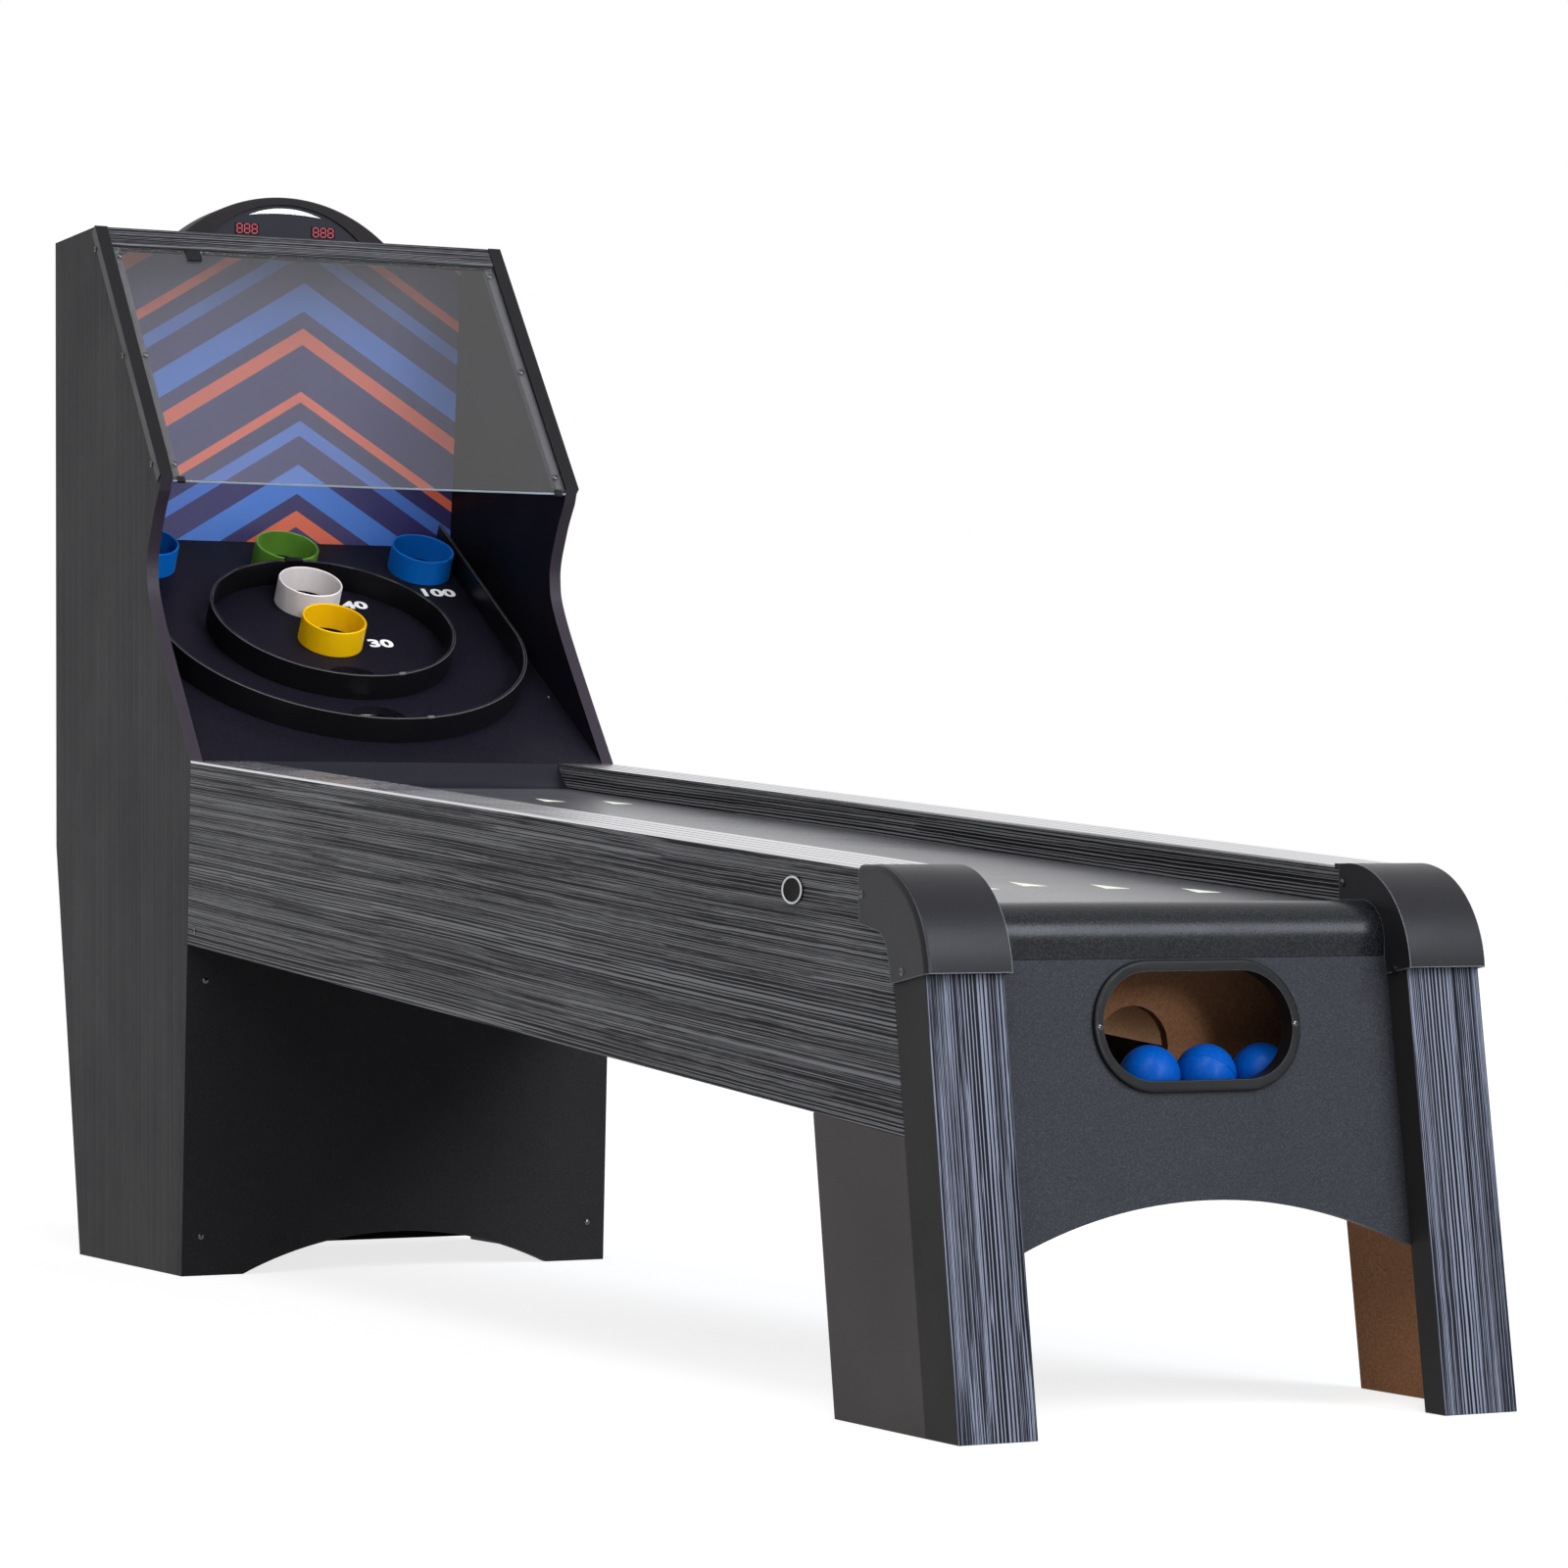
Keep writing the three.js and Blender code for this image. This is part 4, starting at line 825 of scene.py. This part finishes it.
plainSet = {
    "roof_board": "panel", "rear_panel_upper": "panel", "rear_panel_lower": "panel",
    "visor_seat_left": "seat", "visor_seat_right": "seat", "visor_top_clip": "satinBlack",
    "artwork_backboard": "artwork", "target_board": "target", "playfield": "lane", "kicker_ramp": "kicker",
    # the ball tray and the bulkhead take the darker copy of the raw board: painted shade
    "ball_tray": "fibreShade", "return_bulkhead": "fibreShade", "return_floor": "linerShade",
    "collector_board": "fibre", "scorer_face": "scorerSlate", "scorer_display_left": "window",
    "scorer_display_right": "window", "scorer_button": "buttonRubber",
}
for name in nodes:
    if name.startswith("score_flap"):
        plainSet[name] = "steel"
for nodeName, finish in plainSet.items():
    for holder in nodes[nodeName].material_slots:
        holder.material = finishes[finish]
print("carried-over nodes dressed:", len(plainSet))


# balls

ballSet = {"radius": 0.030, "seamHalf": 0.0004, "seamDepth": 0.0004, "seamSlope": 0.00016,
           "gate": 0.0006, "gateRim": 0.0003, "gateShare": 0.995,
           "poles": {"ball_1": (0.26, 0.54, -0.80), "ball_2": (0.528, 0.411, 0.742),
                     "ball_3": (0.30, 0.60, -0.74)}}


def makeBall(s):
    # a moulded ball with a sunken seam round its middle and the mark of the gate at its top
    bpy.ops.object.select_all(action='DESELECT')
    bpy.ops.mesh.primitive_uv_sphere_add(segments=72, ring_count=48, radius=s["radius"])
    ball = bpy.context.object
    for height in (-s["seamHalf"], s["seamHalf"]):
        editMode('VERT', selectAll=True)
        bpy.ops.mesh.bisect(plane_co=(0, 0, height), plane_no=(0, 0, 1))
        objectMode()
    editMode('FACE')
    pick(ball, lambda f: abs(f.center.z) < s["seamHalf"])
    bpy.ops.mesh.inset(thickness=s["seamSlope"], depth=-s["seamDepth"])
    pick(ball, lambda f: f.center.z > s["radius"] * s["gateShare"])
    bpy.ops.mesh.inset(thickness=s["gateRim"], depth=-s["gate"])
    objectMode()
    smoothByAngle(ball, angle=40)
    return ball


ballModel = makeBall(ballSet)
for name, pole in ballSet["poles"].items():
    low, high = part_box(name)
    ball = copyOf(ballModel, name + "_moulded")
    settle(ball, (Vector(low) + Vector(high)) / 2, facing(pole))
    dress(ball, "ball")
    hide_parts(name)
    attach(ball, name)
bpy.data.objects.remove(ballModel)
print("balls made")


# small blocks: ring joint plates, corner tabs under the glass

blockSet = {
    # size in mm, finish, place on the target board or the visor, and turn on it in degrees
    "ring_joint_rear": ((26, 9, 5), "satinBlack", targetSet, (-6, 518, 39), 0),
    # the two near joint plates take the same light finish as the painted rim highlight
    "ring_joint_near_inner": ((10, 4.6, 2.4), "rimLine", targetSet, (48, 182, 38), 16),
    "ring_joint_near_outer": ((10, 4.6, 2.4), "rimLine", targetSet, (48, 58, 38), 11),
    "glass_tab_left": ((11, 9, 5), "satinBlack", visorSet, (-276, -3, -4), 0),
    "glass_tab_right": ((11, 9, 5), "satinBlack", visorSet, (276, -3, -4), 0),
}
blockEdge = {"width": 0.0005, "segments": 2, "limit_method": 'ANGLE', "angle_limit": math.radians(30)}


def addBlock(name, size, finish, ground, spot, spin):
    bpy.ops.object.select_all(action='DESELECT')
    bpy.ops.mesh.primitive_cube_add(size=1)
    block = bpy.context.object
    block.name = name
    settle(block, (0, 0, 0), stretchBy(*(side / 1000 for side in size)))
    applyModifier(block, 'BEVEL', **blockEdge)
    smoothByAngle(block)
    turn = Matrix.Rotation(ground["lean"], 4, 'X') @ Matrix.Rotation(math.radians(spin), 4, 'Z')
    settle(block, onSlope(ground, *spot), turn)
    dress(block, finish)
    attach(block, "table")


for name, values in blockSet.items():
    addBlock(name, *values)
print("small blocks made")


# bright ring round the side disc

discRimSet = {"ring": 0.0011, "flat": 0.55, "wide": 1.62}


def addDiscRim(s):
    low, high = (Vector(corner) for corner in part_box("side_disc"))
    radius = (high.z - low.z) / 2 - s["ring"]
    bpy.ops.object.select_all(action='DESELECT')
    bpy.ops.mesh.primitive_torus_add(major_segments=64, minor_segments=10, major_radius=radius,
                                     minor_radius=s["ring"])
    rim = bpy.context.object
    rim.name = "side_disc_rim"
    middle = (low + high) / 2
    turn = Matrix.Rotation(math.radians(90), 4, 'Y') @ stretchBy(1, s["wide"], s["flat"])
    settle(rim, (low.x, middle.y, middle.z), turn)
    settle(shaped["side_disc"], (0, middle.y * (1 - s["wide"]), 0), stretchBy(1, s["wide"], 1))
    smoothByAngle(rim, angle=60)
    dress(rim, "discRim")
    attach(rim, "table")


addDiscRim(discRimSet)
print("disc rim made")


# screws

screwSet = {
    "radius": 0.0039, "height": 0.0019, "socket": 0.0012, "socketDepth": 0.0011, "ringShare": 0.35,
    # from and to shares of the radius, and the share of the height by which that ring drops
    "dome": ((0.9, 1.1, 0.55), (0.5, 0.9, 0.12)),
    # mm from the front feet: y and z on the sides, z on the panel, x, y and z before the bezel;
    # on the glass and the target board, mm up the slope
    "trim": ((2559, 1410), (2435, 1248), (2313, 1088)),
    "glass": (418, 228, 26),
    "cap": ((182.5, 502.6), (100.3, 430.2)),
    "capInner": ((169.6, 511.4), (77.2, 427)),
    "board": ((2141, 458),),
    "panel": (392, 52),
    "target": (190, 505),
    "wall": ((2722.9, 1071.2), (2335.3, 785.3)),
    "bezel": (108, -200, 375.7),
    "column": 279, "behindGlass": 3.5, "panelLean": 0.0612,
    # how far some heads sink below the face, and how each is turned by the length of its name
    "sinks": {"cap": 0.0005, "wall": 0.0006, "bezel": 0.0016}, "spin": 0.7,
}


def makeScrew(s):
    # domed head with a round socket, standing on z = 0
    bpy.ops.object.select_all(action='DESELECT')
    bpy.ops.mesh.primitive_cylinder_add(vertices=24, radius=s["radius"], depth=s["height"])
    screw = bpy.context.object
    settle(screw, (0, 0, s["height"] / 2))
    editMode('FACE')
    pick(screw, lambda f: f.normal.z > faces)
    bpy.ops.mesh.inset(thickness=s["radius"] * s["ringShare"])
    bpy.ops.mesh.inset(thickness=s["radius"] * (1 - s["ringShare"]) - s["socket"])
    bpy.ops.mesh.extrude_region_move(TRANSFORM_OT_translate={"value": (0, 0, -s["socketDepth"])})
    top = s["height"] * 0.99
    for least, most, drop in s["dome"]:
        pick(screw, lambda v: v.co.z > top and least < v.co.xy.length / s["radius"] < most, "vertices")
        bpy.ops.transform.translate(value=(0, 0, -s["height"] * drop))
    objectMode()
    smoothByAngle(screw, angle=50)
    return screw


def screwPlaces(side, sign, s):
    # name, place, outward normal and sink below the face of each screw on one side of the table
    out, inwards = (sign, 0, 0), (-sign, 0, 0)
    found = []

    def addRow(kind, spots, where, normal):
        for number, spot in enumerate(spots):
            count = f"_{number + 1}" if len(spots) > 1 else ""
            found.append((f"{kind}_screw_{side}{count}", where(spot), normal, s["sinks"].get(kind, 0)))

    def onSide(nodeName, corner):
        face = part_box(nodeName)[corner].x
        return lambda spot: at(0, *spot) + Vector((sign * face, 0, 0))

    def panelPoint(z):
        low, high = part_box("lower_front_panel")
        y = (low.y + feetToMiddle) * 1000 + s["panelLean"] * (high.z * 1000 - z)
        return at(sign * s["column"], y, z)

    def onColumn(ground, behind=0):
        return lambda up: onSlope(ground, sign * s["column"], up, -behind)

    def onWall(spot):
        return shaped["cabinet_side_" + side].ray_cast(at(0, *spot), out)[1]

    addRow("trim", s["trim"], onSide("visor_trim_right", 1), out)
    addRow("glass", s["glass"], onColumn(visorSet, s["behindGlass"]), normalOf(visorSet))
    addRow("cap", s["cap"], onSide("corner_cap_right", 1), out)
    addRow("cap_inner", s["capInner"], onSide("corner_cap_right", 0), inwards)
    addRow("board", s["board"], onSide("outer_board_right", 1), out)
    addRow("panel", s["panel"], panelPoint, (0, -1, 0))
    addRow("target", s["target"], onColumn(targetSet), normalOf(targetSet))
    addRow("wall", s["wall"], onWall, inwards)
    x, y, z = s["bezel"]
    spot, normal = shaped["return_bezel"].ray_cast(at(sign * x, y, z), (0, 1, 0))[1:3]
    found.append((f"bezel_screw_{side}", spot, normal, s["sinks"]["bezel"]))
    return found


screwModel = makeScrew(screwSet)
bpy.context.view_layer.update()
for side, sign in sides:
    for name, where, normal, sink in screwPlaces(side, sign, screwSet):
        screw = copyOf(screwModel, name)
        settle(screw, Vector(where) - Vector(normal) * sink, facing(normal, len(name) * screwSet["spin"]))
        dress(screw, "screw")
        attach(screw, "table")
bpy.data.objects.remove(screwModel)
print("screws placed")


# printed numbers on the target board

numberSet = {"size": 0.030, "stretch": 1.25, "bold": 0.0011, "thick": 0.00012, "curveSteps": 3,
             "places": {"100": (188, 493), "40": (56, 448), "30": (57, 332)}}


def addNumber(text, u, v, s):
    bpy.ops.object.select_all(action='DESELECT')
    bpy.ops.object.text_add()
    label = bpy.context.object
    label.data.body = text
    label.data.size = s["size"]
    label.data.offset = s["bold"]
    label.data.extrude = s["thick"]
    label.data.resolution_u = s["curveSteps"]
    activate(label)
    bpy.ops.object.convert(target='MESH')
    label = bpy.context.object
    label.name = "number_" + text
    turn = Matrix.Rotation(targetSet["lean"], 4, 'X') @ stretchBy(s["stretch"], 1, 1)
    settle(label, onSlope(targetSet, u, v, s["thick"] * 1000), turn)
    dress(label, "ink")
    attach(label, "table")


for text, (u, v) in numberSet["places"].items():
    addNumber(text, u, v, numberSet)
print("numbers printed")


# lane arrows, in mm: their columns, where each starts and ends, and a point (y, z) on the lane

arrowSet = {"width": 28, "thick": 0.12, "columns": (0, 75, -75, 150, -150),
            "near": ((403, 460), (366, 424), (366, 424), (311, 367), (311, 367)),
            "far": ((1860, 1920), (1822, 1890), (1822, 1890), (1777, 1842), (1777, 1842)),
            "laneStart": (177, 491.7)}


def laneTop(y):
    startY, startZ = arrowSet["laneStart"]
    return startZ + math.tan(slope) * (y - startY)


def makeArrow():
    # a thin three-cornered print in a circle of radius 1, one unit thick
    bpy.ops.object.select_all(action='DESELECT')
    bpy.ops.mesh.primitive_circle_add(vertices=3, radius=1, fill_type='NGON')
    arrow = bpy.context.object
    editMode('FACE', selectAll=True)
    thicken(1)
    return arrow


def addArrow(name, x, start, end, s):
    # the model's triangle is the square root of 3 wide and 1.5 long, with its middle a third of the way up
    arrow = copyOf(arrowModel, name)
    middle = start + (end - start) / 3
    size = (s["width"] / math.sqrt(3), (end - start) / 1.5, s["thick"])
    turn = Matrix.Rotation(slope, 4, 'X') @ stretchBy(*(side / 1000 for side in size))
    settle(arrow, at(x, middle, laneTop(middle)), turn)
    dress(arrow, "arrowInk")
    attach(arrow, "table")


arrowModel = makeArrow()
for group in ("near", "far"):
    for number, (x, (start, end)) in enumerate(zip(arrowSet["columns"], arrowSet[group])):
        addArrow(f"lane_arrow_{group}_{number + 1}", x, start, end, arrowSet)
bpy.data.objects.remove(arrowModel)
print("arrows printed")


# digits of the scorer

digitSet = {"height": 0.0128, "width": 0.0076, "bar": 0.00125, "gap": 0.0003, "pitch": 0.0113,
            "thick": 0.00025, "behindFront": 0.0001}


def makeBar(s):
    # one lit bar: a flat tablet along X
    bpy.ops.object.select_all(action='DESELECT')
    bpy.ops.mesh.primitive_plane_add(size=1)
    bar = bpy.context.object
    settle(bar, (0, 0, 0), stretchBy(s["width"] - s["gap"] * 2 - s["bar"], s["bar"], 1))
    editMode('FACE', selectAll=True)
    thicken(s["thick"])
    return bar


def makeDigit(s):
    # an eight of seven bars in the XY plane
    barModel = makeBar(s)
    side, top = s["width"] / 2, s["height"] / 2
    spots = [((0, 0), 0), ((0, top), 0), ((0, -top), 0)]
    for x in (-side, side):
        for y in (-top / 2, top / 2):
            spots.append(((x, y), 90))
    bars = []
    for number, ((x, y), turn) in enumerate(spots):
        bar = copyOf(barModel, f"bar{number}")
        stretch = (top - s["gap"] * 2) / (s["width"] - s["gap"] * 2) if turn else 1
        settle(bar, (x, y, 0), Matrix.Rotation(math.radians(turn), 4, 'Z') @ stretchBy(stretch, 1, 1))
        bars.append(bar)
    bpy.data.objects.remove(barModel)
    bpy.ops.object.select_all(action='DESELECT')
    for bar in bars:
        bar.select_set(True)
    bpy.context.view_layer.objects.active = bars[0]
    bpy.ops.object.join()
    return bpy.context.object


digitModel = makeDigit(digitSet)
upright = Matrix.Rotation(math.radians(90), 4, 'X')
for window in ("left", "right"):
    low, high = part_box("scorer_display_" + window)
    middle = (Vector(low) + Vector(high)) / 2
    for number, step in enumerate((-1, 0, 1)):
        digit = copyOf(digitModel, f"digit_{window}_{number + 1}")
        spot = (middle.x + step * digitSet["pitch"], low.y + digitSet["behindFront"], middle.z)
        settle(digit, spot, upright)
        dress(digit, "digits")
        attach(digit, "table")
bpy.data.objects.remove(digitModel)
print("digits lit")
